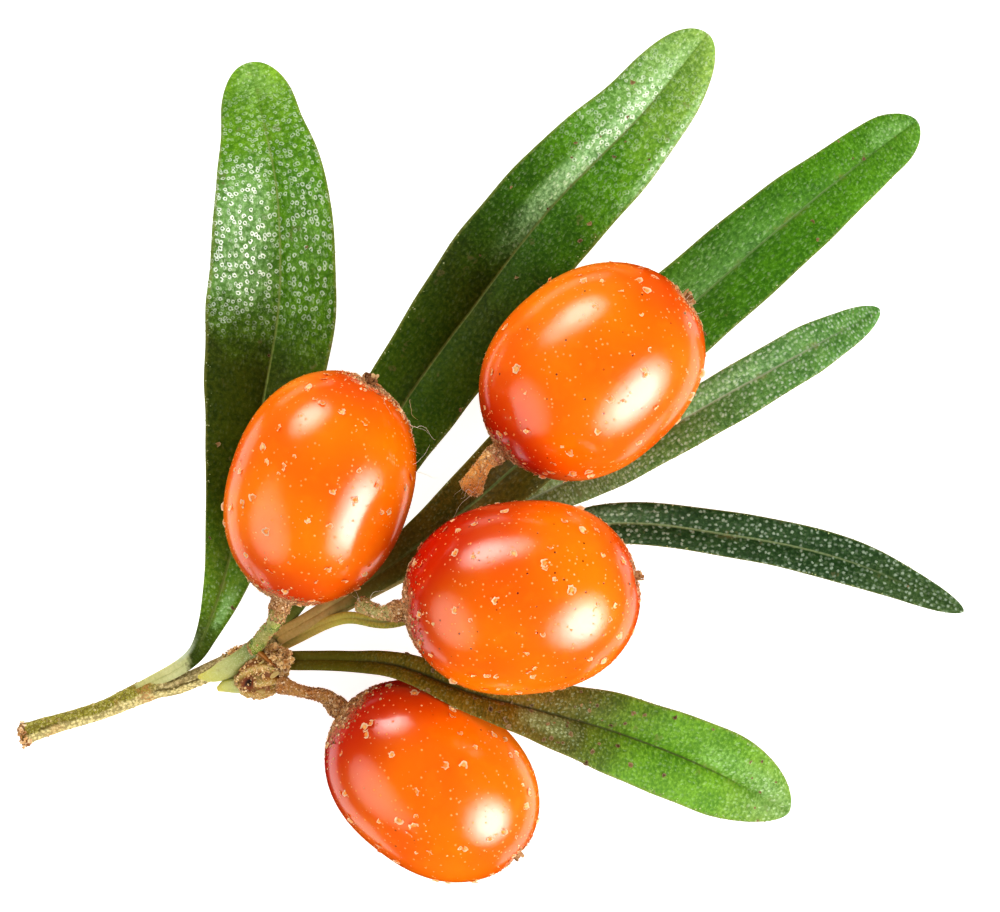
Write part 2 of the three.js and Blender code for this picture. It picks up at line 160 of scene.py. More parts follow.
# Small ragged scales: a rim of points round each place, at size times a seeded share, tilted and lifted along
# the normal, then an inner ring, a middle point above and one below. In sizes: lift is how high the rim
# stands, curl how uneven it is, cup how far the inner ring lies under it, sunk how deep the lowest point is.
def scaleMesh(
    name, places, normals, sizes, material, draw, sides=7, lift=0.25, curl=0.35, cup=0.0, sunk=0.25
):
    count = len(places)
    one = unit(np.cross(normals, unit(draw.normal(size=(count, 3)))))
    two = np.cross(normals, one)
    angle = np.linspace(0, 2 * np.pi, sides, endpoint=False)
    reach = sizes[:, None] * draw.uniform(0.62, 1.12, (count, sides))
    height = sizes[:, None] * (lift + curl * draw.uniform(-0.5, 0.7, (count, sides)))
    tilt = draw.normal(0, 0.2, (count, 2)) * sizes[:, None]
    height = height + tilt[:, :1] * np.cos(angle) + tilt[:, 1:] * np.sin(angle)
    x, y = reach * np.cos(angle), reach * np.sin(angle)
    flat = one[:, None] * x[..., None] + two[:, None] * y[..., None]
    out = normals[:, None]
    rim = places[:, None] + flat + out * height[..., None]
    innerHeight = height * 0.5 + sizes[:, None] * (lift - cup) * 0.5
    inner = places[:, None] + flat * 0.5 + out * innerHeight[..., None]
    top = places + normals * (sizes * (lift + 0.6 * cup))[:, None]
    foot = places - normals * (sizes * sunk)[:, None]
    points = np.concatenate([rim.reshape(-1, 3), inner.reshape(-1, 3), top, foot])
    at = np.arange(count * sides).reshape(count, sides)
    within = at + count * sides
    turned, withinTurned = np.roll(at, -1, axis=1), np.roll(within, -1, axis=1)
    tops = np.broadcast_to((2 * count * sides + np.arange(count))[:, None], at.shape)
    quads = np.stack([at, turned, withinTurned, within], -1).reshape(-1, 4)
    caps = [np.stack([tops, within, withinTurned], -1), np.stack([tops + count, turned, at], -1)]
    tone = draw.uniform(0, 1, count)
    shade = np.concatenate([np.repeat(tone, sides), np.repeat(tone, sides), tone, tone])
    rimShare = np.concatenate([np.ones(count * sides), np.full(count * sides, 0.45), np.zeros(2 * count)])
    marks = {"flake": np.stack([shade, rimShare, 0 * shade], 1)}
    return meshPiece(name, points, quads, np.concatenate(caps).reshape(-1, 3), marks, material, False)


# Scatters scales over a grid of rings, more of them where the weights are high, sized between two bounds.
def scatterScales(name, slot, rings, weights, count, bounds, material, draw, **form):
    places, normals = placesOn(rings, weights, count, draw)
    piece = scaleMesh(name, places, normals, draw.uniform(*bounds, count), material, draw, **form)


# Thin hairs: each a curve that starts along the normal and wanders by a seeded walk, with five sides.
def hairMesh(name, places, normals, lengths, radius, material, draw, wander=0.9, rows=14):
    count, sides = len(places), 5
    steps = np.cumsum(draw.normal(0, wander, (count, rows, 3)), axis=1) / np.sqrt(rows)
    heading = unit(normals[:, None] * 1.4 + steps)
    stride = lengths[:, None, None] / rows
    path = places[:, None] + np.cumsum(heading * stride, axis=1) - heading[:, :1] * stride
    across = unit(np.cross(heading, np.array([0.31, 0.52, 0.79])))
    over = np.cross(heading, across)
    angle = np.linspace(0, 2 * np.pi, sides, endpoint=False)
    width = radius * np.linspace(1, 0.35, rows)[None, :, None, None]
    ring = across[:, :, None] * np.cos(angle)[:, None] + over[:, :, None] * np.sin(angle)[:, None]
    points = (path[:, :, None] + ring * width).reshape(-1, 3)
    at = np.arange(count * rows * sides).reshape(count, rows, sides)
    turned = np.roll(at, -1, axis=2)
    quads = np.stack([at[:, :-1], turned[:, :-1], turned[:, 1:], at[:, 1:]], -1).reshape(-1, 4)
    fans = [end[:, [0, k, k + 1]] for end in (at[:, 0, ::-1], at[:, -1]) for k in (1, 2, 3)]
    shade = np.repeat(draw.uniform(0, 1, count), rows * sides)
    marks = {"flake": np.stack([shade, 0 * shade, 0 * shade], 1)}
    return meshPiece(name, points, quads, np.concatenate(fans), marks, material)


# Materials

class Socket:
    # One socket of a material's nodes. Arithmetic on it adds Math nodes, from either side.
    def __init__(self, tree, out=None):
        self.tree, self.out = tree, out

    # Adds a node: its settings first, then a value or a link for each input. Gives back one of its outputs.
    def node(self, kind, settings=None, inputs=None, output=0):
        made = self.tree.nodes.new("ShaderNode" + kind)
        for name, value in (settings or {}).items():
            if name == "stops":
                self.fillRamp(made.color_ramp, value)
            else:
                setattr(made, name, value)
        for name, value in (inputs or {}).items():
            self.feed(made.inputs[name], value)
        return Socket(self.tree, made.outputs[output])

    def fillRamp(self, ramp, stops):
        for element, (place, colour) in zip((ramp.elements[0], ramp.elements[-1]), (stops[0], stops[-1])):
            element.position, element.color = place, (*colour, 1)
        for place, colour in stops[1:-1]:
            ramp.elements.new(place).color = (*colour, 1)

    def feed(self, target, value):
        if isinstance(value, Socket):
            self.tree.links.new(value.out, target)
        else:
            target.default_value = (*value, 1) if target.type == "RGBA" and len(value) == 3 else value

    def sum(self, operation, a, b=0.0):
        return self.node("Math", {"operation": operation}, {0: a, 1: b})

    def __add__(self, other):
        return self.sum("ADD", self, other)

    def __sub__(self, other):
        return self.sum("SUBTRACT", self, other)

    def __rsub__(self, other):
        return self.sum("SUBTRACT", other, self)

    def __mul__(self, other):
        return self.sum("MULTIPLY", self, other)

    def __truediv__(self, other):
        return self.sum("DIVIDE", self, other)

    def __abs__(self):
        return self.sum("ABSOLUTE", self)

    __radd__ = __add__
    __rmul__ = __mul__

    # 0 below low, 1 above high and smooth between. With low above high it falls.
    def between(self, low, high):
        limits = {"Value": self, "From Min": low, "From Max": high}
        return self.node("MapRange", {"interpolation_type": "SMOOTHSTEP"}, limits)

    # This socket is the share of colour b over colour a.
    def blend(self, a, b):
        return self.node("Mix", {"data_type": "RGBA"}, {0: self, 6: a, 7: b}, 2)

    def ramp(self, stops):
        return self.node("ValToRGB", {"stops": stops}, {0: self})

    # This colour tints the one under it: their product.
    def blendOver(self, under):
        settings = {"data_type": "RGBA", "blend_type": "MULTIPLY"}
        return self.node("Mix", settings, {0: 1.0, 6: under, 7: self}, 2)

    # Moves this vector by reach times how far a value is from one half.
    def shifted(self, value, reach):
        push = (value - 0.5) * reach
        both = self.node("CombineXYZ", {}, {0: push, 1: push})
        return self.node("VectorMath", {"operation": "ADD"}, {0: self, 1: both})

    def stretched(self, *factors):
        return self.node("VectorMath", {"operation": "MULTIPLY"}, {0: self, 1: factors})

    # Values of noise, about 0 to 1, whose features are about one size across, in the units of this vector.
    def noise(self, size, detail=2.0, rough=0.5):
        inputs = {"Vector": self, "Scale": 1 / size, "Detail": detail, "Roughness": rough}
        return self.node("TexNoise", {}, inputs)

    # Spots: the distance from the nearest of the seeded points that lie about one size apart, in sizes.
    def spots(self, size, scatter=1.0, output="Distance", flat=False):
        settings = {"voronoi_dimensions": "2D" if flat else "3D"}
        inputs = {"Vector": self, "Scale": 1 / size, "Randomness": scatter}
        return self.node("TexVoronoi", settings, inputs, output)

    def part(self, axis):
        return self.node("SeparateXYZ", {}, {0: self}, axis)


class Finish:
    # A material with its Principled shader. What is given by name is set on the shader's own sockets.
    def __init__(self, name, **fixed):
        self.material = bpy.data.materials.new(name)
        self.material.use_nodes = True
        self.shader = self.material.node_tree.nodes["Principled BSDF"]
        self.start = Socket(self.material.node_tree)
        for socket, value in fixed.items():
            self.shader.inputs[socket.replace("_", " ")].default_value = value

    # Object coordinates in millimetres
    def place(self):
        return self.start.node("TexCoord", output="Object").stretched(1 / mm, 1 / mm, 1 / mm)

    def mark(self, name):
        return self.start.node("Attribute", {"attribute_name": name}, output="Vector")

    # Colour, roughness and a height in millimetres, which a Bump node turns into the normal
    def paint(self, colour, roughness, height=None, strength=1.0):
        self.start.feed(self.shader.inputs["Base Color"], colour)
        self.start.feed(self.shader.inputs["Roughness"], roughness)
        if height is not None:
            bump = {"Height": height, "Strength": strength, "Distance": mm}
            self.start.feed(self.shader.inputs["Normal"], self.start.node("Bump", {}, bump))
        return self.material


# Leaves

leafShape = {
    "thickness": 0.36,
    "ribKeel": 0.2,  # how far the midrib stands out below
    "ribGroove": 0.13,  # how far it is sunk above
    "ribWidth": 0.16,
    "edgeShare": 0.55,
    "bulge": 0.08,
    "wavesAlong": 14,
    "waveOffset": 2.1,
    "stalkToBlade": (0.15, 0.4),
    "ribFade": 0.7,
    "unevenTop": 0.03,
    "length": 38,
    "edgeWaves": ((0.012, 31), (0.008, 67)),  # how much the width varies, and how fast, coarse and fine
    "rows": 210,
    "columns": 56,
    "tipCrowding": 1.6,
    "edgeCrowding": 0.125,
    "marginScales": 150,
    "marginScaleSize": (0.02, 0.05),
    "brownScaleSize": (0.06, 0.16),
    "scaleSeed": 80,
}

# rib runs from the twig to the tip, and half holds share of the length, width left and width right of it.
# tip: where it begins to round off, and the power and root of that. fold: the blade's slope, stalk to tip.
# roll: its turn about the rib in degrees. tones: stops of colour along the leaf, its own colour with painted
# shade and painted light in it. Then stops along the leaf for how strong the pale flecks are, which partly
# paints highlight. Then the painted sheen patches: along, reach along, across, reach across, strength. rings:
# where they start, are full, thin out and end, then their strength.
# flakes: how many brown scales, most of them at brownAt. paleSide: where the stalk's pale side fades out.
leaves = {
    "farLeftLeaf": {
        "node": "leaf_far_left",
        "slot": "leaf",
        "rib": [
            [-17.0, -11.25, 1.75], [-14.6, -9.9, 2.2], [-13.7, -8.4, 2.3], [-12.7, -5.4, 2.0],
            [-11.7, -1.1, 1.6], [-10.9, 3.1, 1.2], [-10.2, 7.6, 0.9], [-10.3, 12.6, 0.9],
            [-11.0, 16.3, 1.1], [-11.7, 19.0, 1.6],
        ],
        "half": [
            [0, 0.3, 0.3], [0.12, 0.4, 0.4], [0.22, 0.45, 0.65], [0.33, 1.1, 1.35], [0.45, 2.1, 2.0],
            [0.55, 2.95, 2.65], [0.67, 3.5, 2.75], [0.78, 3.05, 2.5], [0.88, 2.15, 1.9], [1, 1.5, 1.5],
        ],
        "tip": (0.9, 2.6, 2.2),
        "fold": [0.3, 0.6, 0.3, 0.12, 0.08],
        "roll": [0, 0],
        "wave": 0.12,
        "tones": [
            (0, (0.52, 0.5, 0.26)), (0.1, (0.52, 0.54, 0.34)), (0.13, (0.04, 0.065, 0.004)),
            (0.21, (0.06, 0.1, 0.004)), (0.29, (0.12, 0.25, 0.014)), (0.4, (0.045, 0.08, 0.002)),
            (0.58, (0.045, 0.07, 0.002)), (0.66, (0.075, 0.19, 0.005)), (0.8, (0.09, 0.25, 0.006)),
            (1, (0.17, 0.35, 0.025)),
        ],
        "flecksAndSheen": [
            (0, 0.5), (0.1, 0.4), (0.14, 0.12), (0.3, 0.35), (0.4, 0.05), (0.58, 0.06), (0.66, 0.28),
            (1, 0.45),
        ],
        "paintedSheen": [
            (0.74, 0.12, 0.55, 0.6, 0.5), (0.75, 0.09, -0.5, 0.5, 0.1), (0.27, 0.06, -0.5, 0.4, 0.4),
            (0.98, 0.07, 0, 0.9, 0.2),
        ],
        "rings": (0.6, 0.66, 0.86, 0.97, 1.0),
        "dots": 0.0,
        "ribTone": (0.24, 0.3, 0.08),
        "flakes": 8,
        "groove": 0.3,
        "brownAt": 0.3,
        "paleSide": (0.12, 0.23),
    },
    "longLeaf": {
        "node": "leaf_long",
        "slot": "leaf",
        "rib": [
            [-10.5, -8.7, 2.8], [-8.5, -5.7, 2.35], [-6.5, -2.0, 1.7], [-4.2, 2.5, 1.35],
            [-0.6, 7.5, 0.9], [2.9, 12.0, 0.45], [7.2, 16.4, 0.7], [10.5, 20.4, 1.6],
        ],
        "half": [
            [0, 0.35, 0.35], [0.15, 0.7, 0.7], [0.3, 1.6, 1.7], [0.45, 2.2, 2.6], [0.6, 2.7, 2.8],
            [0.75, 2.6, 2.75], [0.88, 2.1, 2.15], [1, 1.7, 1.4],
        ],
        "tip": (0.9, 2.6, 2.1),
        "fold": [0.2, 0.2, 0.15],
        "roll": [0, 0],
        "wave": 0.14,
        "tones": [
            (0, (0.3, 0.26, 0.1)), (0.06, (0.14, 0.18, 0.04)), (0.25, (0.07, 0.12, 0.008)),
            (0.42, (0.05, 0.11, 0.002)), (0.57, (0.035, 0.06, 0.001)), (0.68, (0.032, 0.1, 0.001)),
            (0.8, (0.075, 0.23, 0.003)), (1, (0.24, 0.4, 0.09)),
        ],
        "flecksAndSheen": [(0, 0.15), (0.45, 0.06), (0.6, 0.06), (0.72, 0.2), (0.85, 0.3), (1, 0.5)],
        "paintedSheen": [(0.82, 0.22, 0.1, 0.42, 0.75), (0.86, 0.12, -0.95, 0.2, 0.5), (0.9, 0.12, 0.6, 0.5, 0.3)],
        "rings": (0.72, 0.82, 0.9, 0.98, 0.45),
        "dots": 0.0,
        "ribTone": (0.2, 0.24, 0.07),
        "flakes": 16,
        "groove": 0.3,
        "brownAt": 0.82,
    },
    "upperRightLeaf": {
        "node": "leaf_upper_right",
        "slot": "leaf",
        "rib": [
            [-10.3, -8.75, 2.8], [-6.7, -6.6, 2.75], [-3.1, -4.0, 2.3], [0.5, -1.1, 1.8], [5.3, 3.4, 1.0],
            [9.8, 7.4, 0.43], [14.4, 11.4, 0.43], [17.9, 14.2, 0.9], [20.6, 16.2, 1.5],
        ],
        "half": [
            [0, 0.38, 0.38], [0.06, 0.4, 0.42], [0.12, 0.55, 0.55], [0.25, 1.2, 1.1], [0.4, 1.9, 1.6],
            [0.55, 2.2, 2.1], [0.68, 2.15, 2.2], [0.82, 1.75, 1.85], [0.92, 1.45, 1.45], [1, 1.1, 1.2],
        ],
        "tip": (0.92, 2.4, 2.0),
        "fold": [0.2, 0.2, 0.15],
        "roll": [0, 0],
        "wave": 0.12,
        "tones": [
            (0, (0.5, 0.34, 0.14)), (0.09, (0.5, 0.38, 0.18)), (0.13, (0.16, 0.17, 0.05)),
            (0.2, (0.1, 0.1, 0.012)), (0.35, (0.1, 0.07, 0.002)), (0.45, (0.06, 0.07, 0.003)),
            (0.55, (0.04, 0.12, 0.002)), (0.7, (0.05, 0.17, 0.003)), (0.85, (0.075, 0.23, 0.006)),
            (1, (0.1, 0.26, 0.02)),
        ],
        "flecksAndSheen": [(0, 0.2), (0.4, 0.1), (0.55, 0.15), (0.85, 0.22), (1, 0.3)],
        "paintedSheen": [(0.68, 0.12, 0.3, 0.7, 0.1), (0.95, 0.07, 0.2, 0.7, 0.2)],
        "rings": None,
        "dots": 0.0,
        "ribTone": (0.19, 0.3, 0.1),
        "flakes": 10,
        "groove": 0.3,
        "brownAt": 0.75,
    },
    "narrowRightLeaf": {
        "node": "leaf_narrow_right",
        "slot": "dark_leaf",
        "rib": [
            [-9.9, -8.65, 1.9], [-5.3, -6.1, 1.4], [-1.0, -3.6, 0.85], [3.1, -1.5, 0.5], [6.3, 0.1, 0.5],
            [10.9, 2.7, 0.6], [15.6, 5.3, 1.0], [18.8, 7.1, 1.5],
        ],
        "half": [
            [0, 0.4, 0.4], [0.15, 0.5, 0.5], [0.35, 0.95, 1.0], [0.5, 1.1, 1.3], [0.7, 1.1, 1.45],
            [0.85, 1.2, 1.25], [0.94, 0.8, 0.85], [1, 0.5, 0.5],
        ],
        "tip": (0.95, 2.4, 2.0),
        "fold": [0.05, 0.15, 0.3, 0.25],
        "roll": [0, 0],
        "wave": 0.1,
        "tones": [
            (0, (0.4, 0.32, 0.15)), (0.35, (0.22, 0.24, 0.11)), (0.6, (0.11, 0.21, 0.07)),
            (0.8, (0.085, 0.21, 0.06)), (1, (0.105, 0.26, 0.06)),
        ],
        "flecksAndSheen": [(0, 0.4), (0.5, 0.5), (0.75, 0.3), (1, 0.3)],
        "paintedSheen": [(0.52, 0.14, 0.3, 0.9, 0.55), (0.7, 0.2, 0.45, 0.5, 0.25), (0.5, 0.12, -0.6, 0.6, 0.3)],
        "rings": None,
        "dots": 0.6,
        "ribTone": (0.36, 0.42, 0.28),
        "flakes": 0,
        "groove": -0.25,
        "brownAt": 0.5,
    },
    "darkRightLeaf": {
        "node": "leaf_dark_right",
        "slot": "dark_leaf",
        "rib": [
            [-10.1, -9.05, 2.4], [-7.2, -7.8, 3.0], [-4.4, -7.8, 3.4], [0.5, -5.5, 3.55],
            [5.3, -3.3, 2.6], [11.6, -3.8, 1.6], [17.4, -5.1, 0.8], [22.9, -7.5, 0.5],
        ],
        "half": [
            [0, 0.35, 0.35], [0.2, 0.3, 0.3], [0.35, 0.5, 0.5], [0.5, 0.9, 0.95], [0.7, 1.1, 1.05],
            [0.85, 1.1, 1.15], [0.94, 0.75, 0.75], [1, 0.45, 0.4],
        ],
        "tip": (0.95, 2.4, 2.0),
        "fold": [0.1, 0.3, 0.25],
        "roll": [0, 0],
        "wave": 0.08,
        "tones": [
            (0, (0.5, 0.4, 0.16)), (0.1, (0.6, 0.5, 0.16)), (0.16, (0.6, 0.6, 0.16)),
            (0.28, (0.5, 0.52, 0.13)), (0.36, (0.12, 0.14, 0.03)), (0.5, (0.026, 0.064, 0.022)),
            (0.85, (0.018, 0.055, 0.014)), (1, (0.06, 0.11, 0.04)),
        ],
        "flecksAndSheen": [(0, 0.25), (0.5, 0.25), (0.65, 0.06), (1, 0.15)],
        "paintedSheen": [(0.5, 0.16, 0.4, 0.6, 0.2)],
        "rings": None,
        "dots": 0.48,
        "ribTone": (0.24, 0.3, 0.14),
        "flakes": 3,
        "groove": 0.2,
        "brownAt": 0.5,
    },
    "lowerRightLeaf": {
        "node": "leaf_lower_right",
        "slot": "leaf",
        "rib": [
            [-10.0, -9.85, 3.3], [-7.0, -9.85, 4.2], [-4.3, -10.1, 5.3], [-1.0, -11.3, 5.87],
            [2.4, -12.2, 5.35], [6.2, -13.3, 4.0], [10.6, -15.1, 2.3], [14.4, -17.2, 1.0],
        ],
        "half": [
            [0, 0.45, 0.5], [0.15, 0.5, 0.6], [0.3, 0.7, 0.8], [0.45, 1.0, 1.15], [0.6, 1.5, 1.75],
            [0.75, 1.95, 2.15], [0.88, 2.1, 2.0], [1, 1.5, 1.1],
        ],
        "tip": (0.9, 2.4, 2.0),
        "fold": [0.4, 0.3, 0.2],
        "roll": [-20, -25, -20, 0, 0],
        "wave": 0.12,
        "tones": [
            (0, (0.12, 0.1, 0.012)), (0.15, (0.13, 0.12, 0.006)), (0.35, (0.17, 0.12, 0.008)),
            (0.52, (0.17, 0.1, 0.006)), (0.64, (0.09, 0.1, 0.014)), (0.76, (0.12, 0.28, 0.018)),
            (0.88, (0.14, 0.32, 0.024)), (1, (0.18, 0.3, 0.065)),
        ],
        "flecksAndSheen": [(0, 0.2), (0.3, 0.15), (0.5, 0.22), (0.62, 0.3), (0.7, 0.15), (0.86, 0.25), (1, 0.5)],
        "paintedSheen": [(0.58, 0.07, -0.3, 0.5, 0.3), (0.9, 0.1, 0.3, 0.4, 0.2), (0.97, 0.06, 0, 1, 0.2)],
        "rings": None,
        "dots": 0.0,
        "ribTone": (0.06, 0.06, 0.02),
        "flakes": 60,
        "groove": 1.1,
        "brownAt": 0.56,
    },
}


# Half widths left and right of the rib: smooth between the stations, rounded off towards the tip by
# (1 - x^power)^(1/root), where x runs from 0 to 1 over the tip.
def halfWidths(leaf, t):
    table = np.array(leaf["half"])
    station = np.interp(t, table[:, 0], np.linspace(0, 1, len(table)))
    start, power, root = leaf["tip"]
    x = np.clip((t - start) / (1 - start), 0, 1)
    return smoothLine(table[:, 1:], station) * np.maximum(1 - x**power, 1e-4)[:, None] ** (1 / root)


# The blade as rings round its section: out over the top from left to right, back underneath. A ring point is
# the rib's point + width v sideways + height outwards, and the height adds fold, bulge, wave and thickness.
def leafRings(leaf, shape, seed):
    steps = np.linspace(0, 1, shape["rows"])
    t = 1 - (1 - steps) ** shape["tipCrowding"]
    w = np.linspace(1, -1, shape["columns"] + 1)
    v = w - shape["edgeCrowding"] * np.sin(2 * np.pi * w)
    v = np.concatenate([v, v[-2:0:-1]])
    top = np.concatenate([np.ones(shape["columns"] + 1), -np.ones(shape["columns"] - 1)])
    point, ahead, side, up = framesAlong(leaf["rib"], t)
    lean = np.radians(np.interp(t, np.linspace(0, 1, len(leaf["roll"])), leaf["roll"]))[:, None]
    across = side * np.cos(lean) + up * np.sin(lean)
    out = up * np.cos(lean) - side * np.sin(lean)
    widths = halfWidths(leaf, t)
    (coarse, slow), (fine, fast) = shape["edgeWaves"]
    uneven = 1 + coarse * np.sin(slow * t + seed) + fine * np.sin(fast * t + 2 * seed)
    width = np.where(v > 0, widths[:, :1], widths[:, 1:]) * uneven[:, None]
    far = np.abs(v)
    fold = np.interp(t, np.linspace(0, 1, len(leaf["fold"])), leaf["fold"])[:, None]
    blade = smoothStep(*shape["stalkToBlade"], t)[:, None]
    phase = shape["wavesAlong"] * t[:, None] + shape["waveOffset"] * np.sign(v)
    wave = leaf["wave"] * blade * far**2 * np.sin(phase)
    lift = width * fold * far + shape["bulge"] * width * np.sin(np.pi * far**0.8) + wave
    half = shape["thickness"] / 2 * (1 + (shape["edgeShare"] - 1) * far**2)
    half = half * np.sqrt(np.maximum(1 - far**8, 0))
    offRib = np.exp(-((v * width / shape["ribWidth"]) ** 2))
    groove = -shape["ribGroove"] * leaf["groove"] * blade
    ribHeight = np.where(top > 0, groove, shape["ribKeel"]) * offRib * (1 - shape["ribFade"] * t[:, None])
    skin = np.stack(np.broadcast_arrays(v * width, (t * shape["length"])[:, None], seed * 3.0 + top), -1)
    ripple = shape["unevenTop"] * blade * lumps(seed, skin * [1.0, 0.6, 1.0], 1.7) * (1 - far**4)
    height = lift + top * half + ribHeight + ripple
    rings = point[:, None] + across[:, None] * (v * width)[..., None] + out[:, None] * height[..., None]
    marks = {
        "leafPlace": np.stack(np.broadcast_arrays(t[:, None], v, top), -1),
        "leafSkin": skin,
    }
    return rings, marks


# The colours that all leaves share, and the spacing of what is scattered over them, in millimetres
leafTones = {
    # A pale green painted as sheen where the leaf catches the light: a painted highlight.
    "paintedSheen": (0.4, 0.66, 0.32),
    # The pale flecks' colour, which also paints highlight inside the painted sheen.
    "flecksAndSheen": (0.66, 0.8, 0.5),
    "ring": (0.92, 0.97, 0.85),
    "ringMiddle": (0.06, 0.12, 0.02),
    "dot": (0.5, 0.6, 0.46),
    "besideRib": (0.17, 0.11, 0.04),
    "paleStalk": (0.48, 0.54, 0.38),
    "margin": (0.24, 0.24, 0.05),
    "scar": (0.13, 0.1, 0.045),
    "under": (0.26, 0.31, 0.2),
    "silver": (0.5, 0.53, 0.42),
    "underBrown": (0.2, 0.1, 0.04),
    "underRib": (0.34, 0.33, 0.18),
    "ringSpacing": 0.29,
    "dotSpacing": 0.25,
    "fleckSpacing": 0.17,
    "underSpacing": 0.2,
}


# The blade's two faces. Above: tones along the leaf, its own colour with painted shade near the twig and
# under the berries and painted light where it bends towards the lamps, then mottling, painted sheen: pale
# patches painted where the leaf catches the light, tiny pale flecks that are stronger in painted highlight,
# ring scales, whiter in the painted sheen, or dots, the rib, an olive margin and a few brown scars.
# Underneath: close silvery scales with scattered brown ones. A patch fades smoothly from its middle.
def leafFinish(name, leaf, tones):
    finish = Finish(name + "Skin", Specular_IOR_Level=0.08)
    place, skin = finish.mark("leafPlace"), finish.mark("leafSkin")
    along, across, above = (place.part(k) for k in range(3))
    skinAcross = skin.part(0)
    bladeShare = along.between(0.12, 0.3)

    coarse = skin.noise(1.5, 3, 0.6)
    fine = skin.noise(0.17, 2, 0.6)
    speck = skin.noise(0.085, 1, 0.5)
    shifted = along + (coarse - 0.5) * 0.08 + (fine - 0.5) * 0.03
    # The tones along the leaf hold its own colour and painted shade and light: darker near the twig and under
    # the berries, lighter where it bends towards the lamps.
    colour = (shifted - across * 0.018).ramp(leaf["tones"])
    mottle = (coarse * 0.5 + fine * 0.9).between(0.45, 0.95)
    calm = (mottle - 0.55) * (0.25 + bladeShare * 0.75) + 0.55
    colour = calm.blend((0.52, 0.62, 0.4), (1.35, 1.22, 1.0)).blendOver(colour)

    # How strong the pale flecks are along the leaf: real hairs, made stronger where light is painted on.
    flecksAndSheenShare = shifted.ramp([(at, (share,) * 3) for at, share in leaf["flecksAndSheen"]]).part(0)
    # Painted sheen: pale patches painted where the leaf catches the light.
    patches = []
    for at, reach, side, width, strength in leaf["paintedSheen"]:
        patch = (abs(shifted - at) / reach).between(1, 0.25) * (abs(across - side) / width).between(1, 0.3)
        patch = patch * strength
        patches.append(patch * across.between(-0.02, math.copysign(0.06, side)) if side else patch)
    paintedSheen = sum(patches[1:], patches[0])
    colour = (paintedSheen * (0.25 + mottle * 0.7)).blend(colour, tones["paintedSheen"])
    bent = skin.shifted(fine, 0.25).stretched(1, 0.55, 1)
    spacing = tones["fleckSpacing"]
    starShare = bent.spots(spacing, 1.0, "Color", flat=True).part(1).between(0.2, 0.95)
    stars = (bent.spots(spacing, 1.0, flat=True) + (speck - 0.5) * 0.5).between(0.38, 0.12) * starShare
    flecks = stars * 0.9 + (speck * 0.6 + fine * 0.5).between(0.62, 0.74) * 0.35
    # The flecks also whiten inside the painted sheen: painted highlight.
    flecksAndSheen = (flecksAndSheenShare * 0.8 + paintedSheen * 0.7) * flecks * (0.3 + bladeShare * 0.7)
    colour = flecksAndSheen.blend(colour, tones["flecksAndSheen"])
    height = fine * 0.04 + coarse * 0.04

    if leaf["rings"]:
        low, risen, falling, high, strength = leaf["rings"]
        warped = skin.shifted(fine, 0.17)
        distance = warped.spots(tones["ringSpacing"], 0.95, flat=True)
        kept = warped.spots(tones["ringSpacing"], 0.95, "Color", flat=True).part(0)
        size = 0.75 + kept * 0.35
        # Real ring scales, shown more and whiter inside the painted sheen, which paints highlight on them.
        region = shifted.between(low, risen) * shifted.between(high, falling) * (0.3 + paintedSheen * 1.5) * strength
        ring = (distance / size).between(0.12, 0.2) * (distance / size).between(0.4, 0.3)
        ring = ring * kept.between(0.05, 0.6) * region * (0.5 + speck)
        middle = (distance / size).between(0.12, 0.05) * kept.between(0.05, 0.6) * region
        colour = ring.blend(colour, tones["ring"])
        colour = (middle * 0.6).blend(colour, tones["ringMiddle"])
    if leaf["dots"]:
        warped = skin.shifted(fine, 0.16)
        distance = warped.spots(tones["dotSpacing"], 0.9, flat=True)
        kept = warped.spots(tones["dotSpacing"], 0.9, "Color", flat=True).part(0).between(0.0, 0.8)
        dot = (distance + (speck - 0.5) * 0.3).between(0.4, 0.1) * kept * along.between(0.25, 0.42)
        colour = (dot * leaf["dots"]).blend(colour, tones["dot"])

    ribWidth = 0.045 + (1 - along) * 0.045
    ribShare = bladeShare * along.between(0.97, 0.8)
    nearRib = (abs(skinAcross) / 0.3).between(1, 0.2) * coarse.between(0.56, 0.66) * fine.between(0.42, 0.56)
    colour = (nearRib * bladeShare * 0.5).blend(colour, tones["besideRib"])
    rib = (abs(skinAcross + (coarse - 0.5) * 0.08) / ribWidth).between(1.4, 0.3) * ribShare
    colour = (rib * (0.35 + fine * 0.8)).blend(colour, leaf["ribTone"])
    if "paleSide" in leaf:
        low, high = leaf["paleSide"]
        pale = (across + (fine - 0.5) * 0.3).between(0.3, 0.85)
        pale = pale * along.between(high, low) * along.between(0.08, 0.12)
        colour = (pale * 0.8).blend(colour, tones["paleStalk"])
    margin = (abs(across) + (fine - 0.5) * 0.05).between(0.93, 0.985) * bladeShare
    colour = (margin * 0.4).blend(colour, tones["margin"])
    scar = skin.noise(0.9, 1).between(0.7, 0.74) * fine.between(0.4, 0.6)
    colour = (scar * 0.5).blend(colour, tones["scar"])

    closeSpots = skin.spots(tones["underSpacing"], 0.9, flat=True)
    tint = skin.spots(tones["underSpacing"], 0.9, "Color", flat=True).part(1)
    silver = closeSpots.between(0.55, 0.15).blend(tones["under"], tones["silver"])
    silver = (tint.between(0.9, 0.93) * closeSpots.between(0.5, 0.3)).blend(silver, tones["underBrown"])
    silver = (abs(skinAcross) / 0.25).between(1.2, 0.6).blend(silver, tones["underRib"])
    facing = above.between(-0.3, 0.3)
    colour = facing.blend(silver, colour)
    roughness = 0.5 + flecksAndSheenShare * 0.12 + fine * 0.12 + (1 - facing) * 0.2
    return finish.paint(colour, roughness, height)


leafTops = {}
for number, (name, leaf) in enumerate(leaves.items()):
    rings, marks = leafRings(leaf, leafShape, number + 1)
    piece = ringPiece(name, rings, marks, leafFinish(name, leaf, leafTones))
    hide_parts(leaf["node"])
    leafTops[name] = (rings, marks["leafPlace"])
print("leaves:", len(leaves))


# Rough brown and green skins

